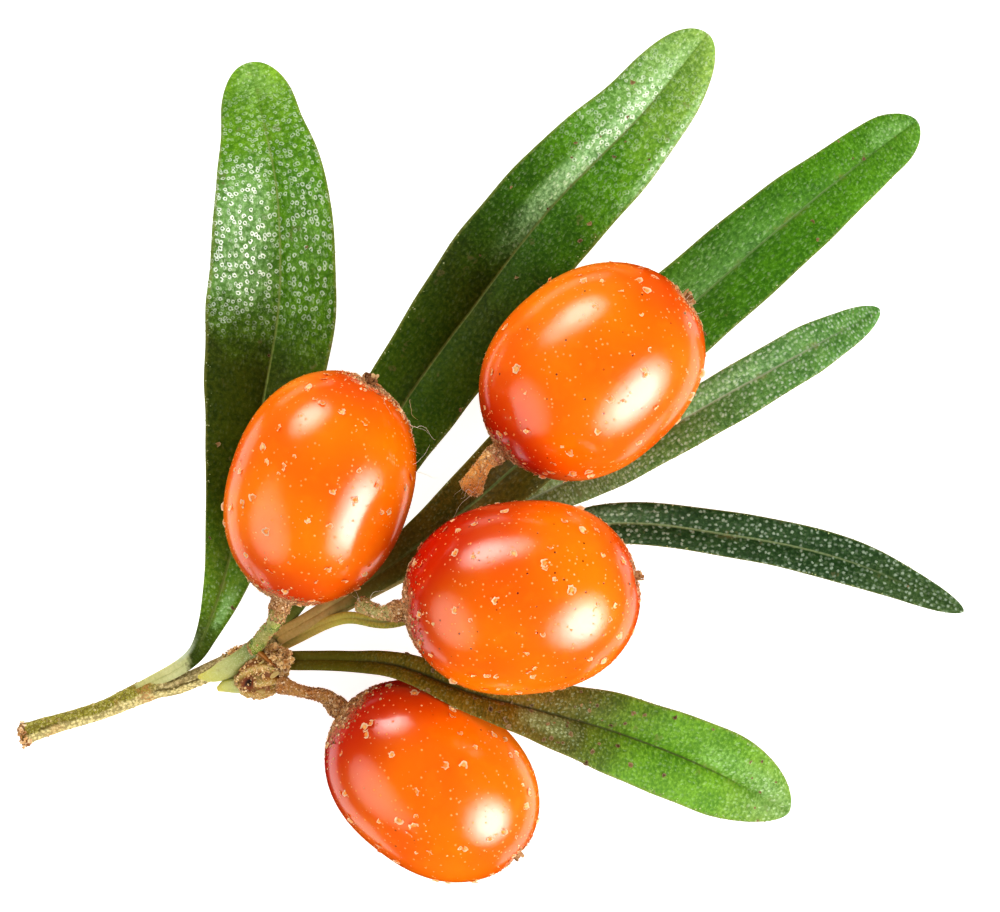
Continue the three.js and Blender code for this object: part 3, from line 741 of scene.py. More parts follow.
# A scurfy skin: two tones by noise, a third by coarser noise, pale and dark specks, a rough height, and brown
# from brownFrom on to the end.
def scurfyFinish(name, light, dark, third, pale, grain=0.12, roughness=0.82, brownFrom=0.7):
    finish = Finish(name, Specular_IOR_Level=0.15)
    place, along = finish.place(), finish.mark("wood").part(0)
    coarse, fine = place.noise(0.9, 3, 0.6), place.noise(grain, 3, 0.65)
    speck = place.noise(grain / 3, 1, 0.5)
    colour = fine.between(0.36, 0.62).blend(dark, light)
    colour = (coarse.between(0.42, 0.6) * 0.75).blend(colour, third)
    colour = (speck.between(0.58, 0.7) * 0.7).blend(colour, pale)
    colour = (speck.between(0.4, 0.3) * 0.3).blend(colour, dark)
    brown = fine.between(0.4, 0.62).blend((0.22, 0.08, 0.015), (0.6, 0.32, 0.11))
    ragged = along + (coarse - 0.5) * 0.5 + (fine - 0.5) * 0.3
    colour = ragged.between(brownFrom, brownFrom + 0.2).blend(colour, brown)
    return finish.paint(colour, roughness, fine * 0.05 + speck * 0.02 + coarse * 0.05)


# Loose scales: one of several tones for each scale, paler towards its rim.
def flakeFinish(name, tones, rimTone, roughness=0.75, gloss=0.2, rimShare=0.4):
    finish = Finish(name, Specular_IOR_Level=gloss)
    flake = finish.mark("flake")
    colour = flake.part(0).ramp(tones)
    colour = (flake.part(1).between(0.3, 0.9) * rimShare).blend(colour, rimTone)
    return finish.paint(colour, roughness)


leafScale = flakeFinish("leafScale", [(0, (0.12, 0.16, 0.03)), (1, (0.45, 0.5, 0.24))], (0.4, 0.45, 0.22))
brownScurf = flakeFinish(
    "brownScurf",
    [
        (0, (0.12, 0.035, 0.005)), (0.4, (0.36, 0.14, 0.03)),
        (0.75, (0.62, 0.36, 0.14)), (1, (0.85, 0.68, 0.45)),
    ],
    (0.8, 0.55, 0.3),
)
duskyScale = flakeFinish(
    "duskyScale", [(0, (0.06, 0.03, 0.006)), (1, (0.22, 0.13, 0.045))], (0.36, 0.28, 0.14)
)
paleScurf = flakeFinish(
    "paleScurf",
    [(0, (0.2, 0.14, 0.03)), (0.5, (0.45, 0.36, 0.12)), (1, (0.7, 0.6, 0.3))],
    (0.68, 0.56, 0.28),
)

# Loose scales on the leaves: small ones along the margins, and brown ones scattered over the blade, more of
# them where brownAt says. A tiny weight everywhere keeps the sum of the weights above nothing.
tinyWeight = 1e-9
for number, (name, leaf) in enumerate(leaves.items()):
    draw = np.random.default_rng(leafShape["scaleSeed"] + number)
    rings, place = leafTops[name]
    t, v, top = np.moveaxis(place, -1, 0)
    margin = (top > 0) * smoothStep(0.86, 0.97, np.abs(v)) * (t > 0.3) * (t < 0.985) + tinyWeight
    scatterScales(
        name + "MarginScales", leaf["slot"], rings, margin, leafShape["marginScales"],
        leafShape["marginScaleSize"], leafScale, draw, curl=0.5,
    )
    if leaf["flakes"]:
        blade = (top > 0) * (np.abs(v) < 0.9) * np.exp(-(((t - leaf["brownAt"]) / 0.14) ** 2))
        blade = (blade + 0.12 * (top > 0) + tinyWeight) * (t > 0.25) * (t < 0.96) + tinyWeight
        scatterScales(
            name + "BrownScales", leaf["slot"], rings, blade, leaf["flakes"], leafShape["brownScaleSize"],
            duskyScale, draw, sides=9, lift=0.12, curl=0.3, cup=0.1, sunk=0.1,
        )
print("leaf scales: done")

# Twig

twig = {
    "line": [
        [-22.7, -13.5, 0.49], [-21.0, -12.93, 0.72], [-18.87, -12.3, 1.1], [-16.45, -11.25, 1.6],
        [-14.96, -10.95, 1.85], [-12.0, -9.7, 2.25], [-9.3, -8.3, 2.45],
    ],
    "radii": [0.49, 0.45, 0.42, 0.54, 0.43, 0.49, 0.36],
    "ridges": 7,
    "ridgeHeight": 0.03,
    "grainHeight": 0.012,
    "cutSwelling": 0.05,
    "cutUneven": 0.09,
    "cutRagged": 0.14,
    "raggedReach": 0.006,
    "seed": 21,
    "scurf": 420,
    "scurfSize": (0.03, 0.07),
    "cutScales": 60,
    "cutScaleSize": (0.07, 0.16),
    "cutReach": 0.035,  # how far the crushed wood of the cut end goes, as a share of the length
    "nodeAt": 0.5,  # where the leaf stalk leaves it
    "upper": (0.3, 0.27, 0.03),
    "beyond": (0.48, 0.38, 0.17),  # the tone of the upper side beyond the node
    "lower": (0.68, 0.57, 0.24),
    "pale": (0.85, 0.78, 0.5),
    "dark": (0.1, 0.07, 0.01),
    "scar": (0.42, 0.2, 0.06),
}


# The twig's rings, with shallow lengthwise ridges: radius + height cos(number of ridges x angle + 5 t). The
# cut end is wider by a share that dies away with t, and ragged.
def twigRings(shape):
    rings, marks = tubeRings(
        shape["line"], shape["radii"], rows=220, sides=72, rough=0.045, frequency=3.2, seed=5
    )
    centre = rings.mean(1, keepdims=True)
    t, turn = marks[..., :1], marks[..., 1:2] * 2 * np.pi
    ridge = shape["ridgeHeight"] * np.cos(shape["ridges"] * turn + 5 * t) * (0.6 + 0.4 * np.cos(19 * t))
    grain = shape["grainHeight"] * lumps(6, rings, 22)[..., None]
    swelling = shape["cutSwelling"] + shape["cutUneven"] * lumps(7, rings, 9)[..., None]
    cut = np.exp(-((t / shape["cutReach"]) ** 2)) * swelling
    fading = np.exp(-t / shape["raggedReach"])
    ragged = np.array([-1.0, -0.33, 0]) * shape["cutRagged"] * fading * lumps(8, rings, 7)[..., None]
    rings = rings + unit(rings - centre) * (ridge + grain + cut) + ragged
    rings[..., 2] = np.maximum(rings[..., 2], 0)
    return rings, marks


# The bark: olive on one side and pale on the other, where it is cracked into small cells; a dark line between
# the two, a scar where the leaf stalk leaves, and brown crushed wood at the cut end.
def twigFinish(look):
    finish = Finish("twigBark", Specular_IOR_Level=0.15)
    place, wood = finish.place(), finish.mark("wood")
    along, turn = wood.part(0), wood.part(1)
    coarse, fine, speck = place.noise(0.8, 3, 0.6), place.noise(0.13, 3, 0.6), place.noise(0.05, 1)
    cell = place.shifted(fine, 0.2).spots(0.16, 1.0)
    side = turn + (coarse - 0.5) * 0.12
    lower = side.between(0.24, 0.31) * side.between(0.85, 0.7)
    beyond = (along + (coarse - 0.5) * 0.1).between(look["nodeAt"], look["nodeAt"] + 0.1)
    upper = beyond.blend(look["upper"], look["beyond"])
    colour = lower.blend(upper, look["lower"])
    colour = (cell.between(0.32, 0.08) * (0.25 + lower * 0.5)).blend(colour, look["pale"])
    colour = (cell.between(0.42, 0.6) * 0.55).blend(colour, look["dark"])
    colour = (speck.between(0.6, 0.72) * 0.5).blend(colour, look["pale"])
    colour = (coarse.between(0.56, 0.7) * 0.4).blend(colour, look["scar"])
    line = (abs(side - 0.26) / 0.03).between(1.3, 0.3)
    early = line * along.between(0.3, 0.1) * fine.between(0.4, 0.52)
    late = (abs(side - 0.29) / 0.02).between(1.3, 0.4) * along.between(look["nodeAt"], look["nodeAt"] + 0.05)
    late = late * along.between(0.9, 0.8)
    colour = ((early + late) * 0.85).blend(colour, look["dark"])
    scar = (abs(along - look["nodeAt"] + 0.01) / 0.035).between(1.2, 0.2) * fine.between(0.4, 0.56)
    colour = (scar * 0.8).blend(colour, look["scar"])
    cut = (along + (fine - 0.5) * 0.03).between(look["cutReach"] * 1.3, look["cutReach"] * 0.6)
    colour = cut.blend(colour, fine.between(0.4, 0.6).blend(look["dark"], look["scar"]))
    return finish.paint(colour, 0.8, cell * -0.03 + fine * 0.04 + speck * 0.015 - late * 0.08)


draw = np.random.default_rng(twig["seed"])
rings, marks = twigRings(twig)
piece = ringPiece("twigWood", rings, {"wood": marks}, twigFinish(twig))
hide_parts("twig")
evenly = np.ones(rings.shape[:2])
scatterScales("twigScurf", "bark", rings, evenly, twig["scurf"], twig["scurfSize"], paleScurf, draw)
atCut = (marks[..., 0] < twig["cutReach"]) + tinyWeight
scatterScales(
    "twigCutScales", "bark", rings, atCut, twig["cutScales"], twig["cutScaleSize"], brownScurf, draw, curl=0.9
)
print("twig: done")

# Green spur along the twig, with a yellow pointed end

spur = {
    "line": [
        [-14.05, -10.62, 2.75], [-13.3, -10.5, 2.95], [-12.43, -10.08, 3.15], [-11.66, -9.5, 3.35],
        [-11.2, -9.05, 3.6],
    ],
    "radii": [0.1, 0.36, 0.5, 0.46, 0.41],
    "sideLine": [[-13.12, -11.2, 2.8], [-12.6, -11.02, 2.95], [-11.9, -10.98, 3.05]],
    "sideRadii": [0.12, 0.36, 0.42],
    "tones": [
        (0, (0.6, 0.5, 0.06)), (0.2, (0.52, 0.5, 0.12)), (0.45, (0.43, 0.44, 0.15)),
        (0.7, (0.26, 0.3, 0.07)), (1, (0.07, 0.1, 0.012)),
    ],
    "pale": (0.62, 0.62, 0.35),
    "brown": (0.3, 0.22, 0.05),
}


def spurFinish(look):
    finish = Finish("greenSpurSkin", Subsurface_Weight=0.35, Subsurface_Scale=0.0006, Specular_IOR_Level=0.5)
    finish.shader.inputs["Subsurface Radius"].default_value = (0.8, 1.0, 0.3)
    place = finish.place()
    coarse, fine = place.noise(0.5, 3), place.noise(0.07, 2)
    along = finish.mark("wood").part(0) + (coarse - 0.5) * 0.16
    colour = along.ramp(look["tones"])
    colour = (fine.between(0.5, 0.66) * 0.35).blend(colour, look["pale"])
    colour = (coarse.between(0.6, 0.72) * 0.4).blend(colour, look["brown"])
    return finish.paint(colour, 0.42 + fine * 0.2, coarse * 0.05 + fine * 0.015)


spurSkin = spurFinish(spur)
rings, marks = tubeRings(
    spur["line"], spur["radii"], rows=90, sides=48, rough=0.07, frequency=3.5, seed=9
)
piece = ringPiece("greenSpur", rings, {"wood": marks}, spurSkin)
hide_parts("fruit_spur")
rings, marks = tubeRings(
    spur["sideLine"], spur["sideRadii"], rows=40, sides=36, rough=0.09, frequency=5.0, seed=11
)
piece = ringPiece("greenSpurSide", rings, {"wood": marks * [0.5, 1, 1]}, spurSkin)
print("spur: done")

# Brown bud on the spur

bud = {
    "centre": [-11.08, -10.46, 3.2],
    "turn": 0.5,
    "radii": [1.32, 1.14, 0.84],
    "folds": 9,
    "foldHeight": 0.22,
    "scales": 26,
    "scaleSize": (0.22, 0.42),
    "smoothTip": [-10.15, -10.22, 4.1],
    "smoothBase": [-11.15, -9.35, 4.0],
    "smoothWidth": 0.15,
    "scurf": 900,
    "scurfSize": (0.025, 0.07),
    "hollow": [-0.62, -0.12, 0.75],  # where its dark hollow lies, as a direction from the centre
    "seed": 33,
    "tones": [(0.1, (0.2, 0.06, 0.005)), (0.4, (0.42, 0.2, 0.022)), (0.75, (0.55, 0.34, 0.07))],
    "olive": (0.32, 0.26, 0.04),
    "pale": (0.9, 0.8, 0.55),
    "hollowRim": (0.24, 0.05, 0.004),
    "hollowDepth": (0.04, 0.01, 0.002),
}


# An oval body, radii x (cos, sin) rings, with sharp lengthwise folds, lumps and a hollow, turned about +Z.
# The marks say how deep in a fold or in the hollow a point lies.
def budRings(shape):
    polar = np.linspace(0.03, np.pi - 0.03, 110)[:, None]
    angle = np.linspace(0, 2 * np.pi, 160, endpoint=False)[None]
    grid = np.broadcast_arrays(-np.cos(polar), np.sin(polar) * np.cos(angle), np.sin(polar) * np.sin(angle))
    sphere = np.stack(grid, -1)
    bent = angle + 0.7 * np.cos(polar) + 0.25 * lumps(3, sphere, 2.5)
    ridge = 1 - np.abs(np.sin(0.5 * shape["folds"] * bent))
    hollow = np.exp(-(np.linalg.norm(sphere - unit(np.array(shape["hollow"])), axis=-1) / 0.3) ** 2)
    uneven = 1 + shape["foldHeight"] * (ridge**1.5 - 0.4) * np.sin(polar) - 0.34 * hollow
    uneven = uneven + 0.08 * lumps(4, sphere, 4) + 0.05 * lumps(8, sphere, 13) + 0.02 * lumps(9, sphere, 30)
    local = sphere * shape["radii"] * uneven[..., None]
    c, s = np.cos(shape["turn"]), np.sin(shape["turn"])
    turned = local @ np.array([[c, s, 0], [-s, c, 0], [0, 0, 1]])
    return turned + shape["centre"], {"budPlace": np.stack([ridge, hollow, 0 * ridge], -1)}


# Curled scales that overlap over the bud: each a shell over (u, v), ovate in outline, width sin(pi u^0.8),
# bent down at its sides and lifted at its end.
def budScaleMesh(shape, material, draw):
    count, rows, columns = shape["scales"], 12, 9
    u = np.linspace(0, 1, rows)[None, :, None]
    v = np.linspace(-1, 1, columns)[None, None]
    i = np.arange(count)
    polar = np.arccos(1 - 1.2 * (i + 0.5) / count)
    turn = i * np.pi * (3 - np.sqrt(5))
    out = np.stack([np.sin(polar) * np.cos(turn), np.sin(polar) * np.sin(turn), np.cos(polar)], 1)
    out = out[out @ unit(np.array(shape["hollow"])) < 0.85]
    count, i = len(out), np.arange(len(out))
    one = unit(np.array([0.9, 0.35, 0.1]) + draw.normal(0, 0.35, (count, 3)))
    one = unit(one - out * (one * out).sum(1, keepdims=True))
    two = np.cross(out, one)
    size = draw.uniform(*shape["scaleSize"], count)[:, None, None]
    width = np.sin(np.pi * (0.08 + 0.9 * u) ** 0.8) * 0.5
    x, y = size * (2 * u - 1), size * width * v
    z = size * (0.1 + 0.3 * u**2 - 0.5 * v**2 + 0.12 * np.sin(6 * v + i[:, None, None]) - 0.25 * (1 - u))
    centre = (out * shape["radii"] * 0.98)[:, None, None]
    one, two, out = (axis[:, None, None] for axis in (one, two, out))
    upper = centre + one * x[..., None] + two * y[..., None] + out * z[..., None]
    lower = upper - out * 0.05
    c, s = np.cos(shape["turn"]), np.sin(shape["turn"])
    both = np.stack([upper, lower], 1) @ np.array([[c, s, 0], [-s, c, 0], [0, 0, 1]]) + shape["centre"]
    at = np.arange(count * 2 * rows * columns).reshape(count, 2, rows, columns)
    over, under = (
        np.stack([g[:, :-1, :-1], g[:, 1:, :-1], g[:, 1:, 1:], g[:, :-1, 1:]], -1).reshape(-1, 4)
        for g in (at[:, 0], at[:, 1])
    )
    rim, below = (
        np.concatenate([g[:, :, 0], g[:, -1, 1:], g[:, -2::-1, -1], g[:, 0, -2:0:-1]], 1)
        for g in (at[:, 0], at[:, 1])
    )
    walls = np.stack([rim, below, np.roll(below, -1, 1), np.roll(rim, -1, 1)], -1).reshape(-1, 4)
    quads = np.concatenate([over, under[:, ::-1], walls])
    shade = np.repeat(draw.uniform(0, 1, count), 2 * rows * columns)
    along = np.broadcast_to(u, (count, 2, rows, columns)).ravel()
    marks = {"flake": np.stack([shade, along, 0 * shade], 1)}
    return meshPiece("budScales", both.reshape(-1, 3), quads, np.zeros((0, 3), int), marks, material)


# The bud's skin: golden along the folds, dark between them and in the hollow, with pale scurf on the crests.
def budFinish(look):
    finish = Finish("budSkin", Specular_IOR_Level=0.4)
    place, budPlace = finish.place(), finish.mark("budPlace")
    coarse, fine, speck = place.noise(0.5, 3, 0.6), place.noise(0.11, 3, 0.65), place.noise(0.04, 1)
    crest = budPlace.part(0) + (fine - 0.5) * 0.7
    colour = crest.ramp(look["tones"])
    colour = (coarse.between(0.5, 0.65) * 0.6).blend(colour, look["olive"])
    colour = (speck.between(0.56, 0.68) * crest.between(0.3, 0.8) * 0.9).blend(colour, look["pale"])
    colour = budPlace.part(1).between(0.12, 0.5).blend(colour, look["hollowRim"])
    colour = budPlace.part(1).between(0.5, 0.85).blend(colour, look["hollowDepth"])
    return finish.paint(colour, 0.5, fine * 0.06 + speck * 0.03 + coarse * 0.05)


# One smooth pointed scale over the bud: from its tip it widens as sin(pi u / 2) to the base, bent over v.
def smoothScaleMesh(tip, base, width, material):
    tip, base = np.array(tip), np.array(base)
    u = np.linspace(0, 1, 24)[:, None]
    v = np.linspace(-1, 1, 15)[None]
    ahead = unit(base - tip)
    side = unit(np.cross(ahead, [0, 0, 1.0]))
    up = np.cross(side, ahead)
    across = width * np.sin(np.pi / 2 * u) * v
    bend = 0.16 * np.sin(np.pi * u) - 0.22 * v**2 * np.sin(np.pi / 2 * u)
    top = tip + (base - tip) * u[..., None] + side * across[..., None] + up * bend[..., None]
    loops = np.concatenate([top, (top - up * 0.06)[:, ::-1]], 1)
    fade = np.broadcast_to(u, loops.shape[:2])
    return ringPiece("budSmoothScale", loops[:, ::-1], {"flake": np.stack([fade, fade, fade], -1)}, material)


draw = np.random.default_rng(bud["seed"])
tuftScurf = flakeFinish(
    "tuftScurf",
    [
        (0, (0.14, 0.035, 0.003)), (0.35, (0.46, 0.2, 0.035)),
        (0.7, (0.74, 0.46, 0.16)), (1, (0.92, 0.74, 0.42)),
    ],
    (0.92, 0.7, 0.38),
    roughness=0.6,
    gloss=0.4,
    rimShare=0.45,
)
budScaleSkin = flakeFinish(
    "budScaleSkin",
    [
        (0, (0.26, 0.09, 0.01)), (0.35, (0.4, 0.2, 0.03)), (0.7, (0.44, 0.32, 0.06)),
        (1, (0.6, 0.44, 0.16)),
    ],
    (0.75, 0.55, 0.26),
    roughness=0.42,
    gloss=0.5,
)
rings, marks = budRings(bud)
piece = ringPiece("budBody", rings, marks, budFinish(bud))
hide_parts("spur_bud")
piece = budScaleMesh(bud, budScaleSkin, draw)
redScale = flakeFinish(
    "redScale",
    [(0, (0.16, 0.04, 0.004)), (1, (0.42, 0.16, 0.02))],
    (0.4, 0.17, 0.03),
    roughness=0.4,
    gloss=0.4,
)
piece = smoothScaleMesh(bud["smoothTip"], bud["smoothBase"], bud["smoothWidth"], redScale)
outside = 1.05 - marks["budPlace"][..., 1]
scatterScales(
    "budScurf", "bud_scale", rings, outside, bud["scurf"], bud["scurfSize"], tuftScurf, draw, curl=0.9
)

# A ragged tuft of scurf beside the bud: scales of all sizes and short hairs over a lumpy ball.
tuft = {
    "centre": [-10.22, -9.74, 3.7],
    "radii": [0.74, 0.5, 0.44],
    "folds": 4,
    "foldHeight": 0.3,
    "turn": -0.5,
    "scales": {"Petals": (170, (0.08, 0.19)), "Scurf": (620, (0.03, 0.08))},
    "hairs": 90,
    "hairLength": (0.12, 0.3),
    "hairRadius": 0.014,
}
rings, marks = budRings({**bud, **tuft})
piece = ringPiece("budTuftCore", rings, marks, bpy.data.materials["budSkin"])
evenly = np.ones(rings.shape[:2])
for part, (count, bounds) in tuft["scales"].items():
    scatterScales(
        "budTuft" + part, "bud_scale", rings, evenly, count, bounds, tuftScurf, draw, curl=1.5, lift=0.4
    )
places, normals = placesOn(rings, evenly, tuft["hairs"], draw)
lengths = draw.uniform(*tuft["hairLength"], tuft["hairs"])
piece = hairMesh("budTuftHairs", places, normals, lengths, tuft["hairRadius"], tuftScurf, draw, rows=8)

# A little golden scurf on the twig's upper edge, beside the spur: most at its centre, falling with distance
# by exp(-(distance / reach)^2).
edgeScurf = {
    "centre": [-12.3, -9.4, 2.5], "reach": 0.33, "count": 90, "size": (0.05, 0.12), "seed": 34,
}
draw = np.random.default_rng(edgeScurf["seed"])
rings = twigRings(twig)[0]
distance = np.linalg.norm(rings - edgeScurf["centre"], axis=-1)
nearSpur = np.exp(-((distance / edgeScurf["reach"]) ** 2)) + tinyWeight
scatterScales(
    "twigEdgeScurf", "bark", rings, nearSpur, edgeScurf["count"], edgeScurf["size"], tuftScurf, draw,
    lift=0.7, curl=1.4,
)
print("bud: done")

# Berries

berryShape = {
    "neckLength": 0.5,
    "neckRadius": 0.5,
    "neckReach": 0.55,
    "flattening": 0.985,
    "joinPower": 2.5,
    "uneven": 0.012,
    "lumpFrequency": 0.55,
    "dimpleDepth": 0.16,
    "dimpleReach": 0.7,
    "rows": 150,
    "sides": 144,
    "seed": 60,
    "lumpSeed": 40,
    "scaleSize": (0.11, 0.26),
    "dust": 420,
    "dustSize": (0.02, 0.05),
    "scurfPerReach": 450,
    "scurfSize": (0.03, 0.09),
    "calyxHairs": 16,
    "hairLength": (0.2, 0.6),
    "hairRadius": 0.008,
}

# calyx: degrees off the far end, degrees round the axis, size. redReach and scurfReach: how far the red and
# the brown scurf of the stalk end go, in millimetres. The lean: how much farther the red goes for each
# millimetre along X, Y and Z from the middle, which paints shade as a deeper red on that side. flakes: how
# many
# pale scales. specks: the share of dark ones.
berries = {
    "leftBerry": {
        "node": "left", "stalkEnd": [-9.95, -6.9, 6.4], "farEnd": [-6.3, 3.9, 7.3], "radius": 4.38,
        "fullness": 2.25,
        "calyx": (9, 150, 1.0), "redReach": 5.2, "red": 0.85, "paintedShadeLean": (0, 0, 0),
        "scurfReach": 2.0, "flakes": 130, "specks": 0.1,
    },
    "upperBerry": {
        "node": "upper", "stalkEnd": [0.5, 0.3, 6.35], "farEnd": [9.2, 7.8, 6.5], "radius": 4.62,
        "fullness": 2.3,
        "calyx": (5, 150, 1.0), "redReach": 5.2, "red": 0.9, "paintedShadeLean": (0, 0, 0),
        "scurfReach": 1.6, "flakes": 100, "specks": 0.3,
    },
    "middleBerry": {
        "node": "middle", "stalkEnd": [-4.1, -7.3, 8.6], "farEnd": [7.1, -6.1, 8.8],
        "radius": 4.58, "fullness": 2.35,
        # This berry's red leans towards +Y, painting shade as a deeper red on that side.
        "calyx": (7, 30, 0.75), "redReach": 7.0, "red": 1.0, "paintedShadeLean": (-0.1, 0.7, 0),
        "scurfReach": 2.3, "flakes": 120, "specks": 0.8,
    },
    "frontBerry": {
        "node": "front", "stalkEnd": [-7.1, -12.2, 4.26], "farEnd": [1.5, -18.97, 4.04],
        "radius": 4.2, "fullness": 2.35,
        "calyx": (4, 150, 0.75), "redReach": 7.0, "red": 1.0, "paintedShadeLean": (0, 0, 0),
        "scurfReach": 2.2, "flakes": 110, "specks": 0.2,
    },
}


def berryAxis(berry):
    start, end = np.array(berry["stalkEnd"]), np.array(berry["farEnd"])
    length = np.linalg.norm(end - start)
    along = (end - start) / length
    side = unit(np.array([-along[1], along[0], 0.0]))
    return start, along, side, np.cross(along, side), length


# Where the flower remnant sits, and the way it points: turned off the axis, then round it.
def calyxPlace(berry):
    start, along, side, up, length = berryAxis(berry)
    off, turn = np.radians(berry["calyx"][0]), np.radians(berry["calyx"][1])
    sideways = side * np.cos(turn) + up * np.sin(turn)
    out = unit(along * np.cos(off) + sideways * np.sin(off))
    return start + along * (length - berry["radius"]) + out * berry["radius"], out


# Rings about the axis. The radius joins an oval and a narrowing neck: (oval^p + neck^p)^(1/p).
# A shallow dimple lies round the flower remnant: minus depth exp(-(distance/reach)^2).
def berryRings(berry, shape, seed):
    start, along, side, up, length = berryAxis(berry)
    share = (1 - np.cos(np.pi * np.linspace(0, 1, shape["rows"]))) / 2
    y = -shape["neckLength"] + share * (length + shape["neckLength"])
    inside = np.clip(2 * y / length - 1, -1, 1)
    oval = berry["radius"] * np.sqrt(np.maximum(1 - np.abs(inside) ** berry["fullness"], 0))
    neck = shape["neckRadius"] * np.exp(-((np.maximum(y, 0) / shape["neckReach"]) ** 2))
    power = shape["joinPower"]
    radius = np.maximum((oval**power + neck**power) ** (1 / power), 0.02)
    angle = np.linspace(0, 2 * np.pi, shape["sides"], endpoint=False)
    around = side * np.cos(angle)[:, None] + up * np.sin(angle)[:, None] * shape["flattening"]
    rings = start + along * y[:, None, None] + around[None] * radius[:, None, None]
    outward = unit(rings - (start + along * length / 2))
    swelling = shape["uneven"] * berry["radius"] * lumps(seed, rings, shape["lumpFrequency"])
    rings = rings + outward * swelling[..., None]
    end, out = calyxPlace(berry)
    distance = np.linalg.norm(rings - end, axis=-1)
    dimple = shape["dimpleDepth"] * np.exp(-((distance / shape["dimpleReach"]) ** 2))
    rings = rings - out * dimple[..., None]
    rings[..., 2] = np.maximum(rings[..., 2], 0)
    fromStalk = np.linalg.norm(rings - start, axis=-1)
    # Leaning the red towards one side paints shade there as a deeper red.
    redAndShadeDistance = fromStalk - (rings - (start + along * length / 2)) @ np.array(berry["paintedShadeLean"])
    return rings, {"berryPlace": np.stack([redAndShadeDistance, fromStalk, distance], -1)}


# The colours that all berries share, the spacing of dots and specks in millimetres, and the roughness between
berryTones = {
    "deepOrange": (0.86, 0.13, 0.0004),
    "orange": (0.92, 0.215, 0.0006),
    "yellow": (0.9, 0.3, 0.004),
    "red": (0.5, 0.005, 0.0004),
    "dot": (0.9, 0.42, 0.08),
    "speck": (0.07, 0.006, 0.002),
    "scurf": [(0.32, (0.14, 0.04, 0.006)), (0.5, (0.42, 0.17, 0.035)), (0.66, (0.74, 0.46, 0.2))],
    "pale": (0.8, 0.5, 0.32),
    "dotSpacing": 0.34,
    "speckSpacing": 0.45,
    "roughness": 0.17,
}


# The skin: orange, redder towards both ends, with painted shade as deeper red on the side where the red
# leans, pale dots, dark specks, fine dimples, brown scurf over the neck and pale scurf round the flower
# remnant.
def berryFinish(name, look, tones):
    finish = Finish(name + "Skin", Subsurface_Weight=0.2, Subsurface_Scale=0.0012, Specular_IOR_Level=0.55)
    finish.shader.inputs["Subsurface Radius"].default_value = (1.0, 0.2, 0.02)
    place, berryPlace = finish.place(), finish.mark("berryPlace")
    fromStalk, fromCalyx = berryPlace.part(1), berryPlace.part(2)
    broad, coarse, fine = place.noise(5.5, 1), place.noise(0.8, 2), place.noise(0.12, 2, 0.6)

    colour = broad.between(0.3, 0.7).blend(tones["deepOrange"], tones["orange"])
    colour = (coarse.between(0.5, 0.75) * 0.12).blend(colour, tones["yellow"])
    # The red of the stalk end is the berry's own colour. Where the red leans, it is painted shade.
    red = (berryPlace.part(0) + (broad - 0.5) * 3).between(look["redReach"], look["redReach"] * 0.25)
    red = red * look["red"]
    red = red + fromCalyx.between(4.2, 0.8) * 0.5
    colour = red.blend(colour, tones["red"])

    dot = place.spots(tones["dotSpacing"], 1.0).between(0.19, 0.09)
    colour = (dot * 0.6).blend(colour, tones["dot"])
    specks, spacing = look["specks"], tones["speckSpacing"]
    speckShare = place.spots(spacing, 1.0, "Color").part(0).between(1 - 0.5 * specks, 1.05 - 0.4 * specks)
    speck = place.spots(spacing, 1.0).between(0.16, 0.08) * speckShare
    colour = (speck * 0.85).blend(colour, tones["speck"])

    ragged = fine * 0.5 + coarse * 0.5 - 0.5
    reach = look["scurfReach"]
    neck = (fromStalk + ragged * 4).between(reach, reach * 0.45)
    colour = neck.blend(colour, fine.ramp(tones["scurf"]))
    pale = (fromCalyx + ragged * 3).between(1.5, 0.5) * fine.between(0.42, 0.54)
    colour = (pale * 0.6).blend(colour, tones["pale"])

    roughness = tones["roughness"] + coarse * 0.03 + neck * 0.6 + pale * 0.4 + dot * 0.7
    height = dot * 0.008 - speck * 0.01 + fine * (0.002 + neck * 0.05 + pale * 0.02) + coarse * 0.006
    return finish.paint(colour, roughness, height)


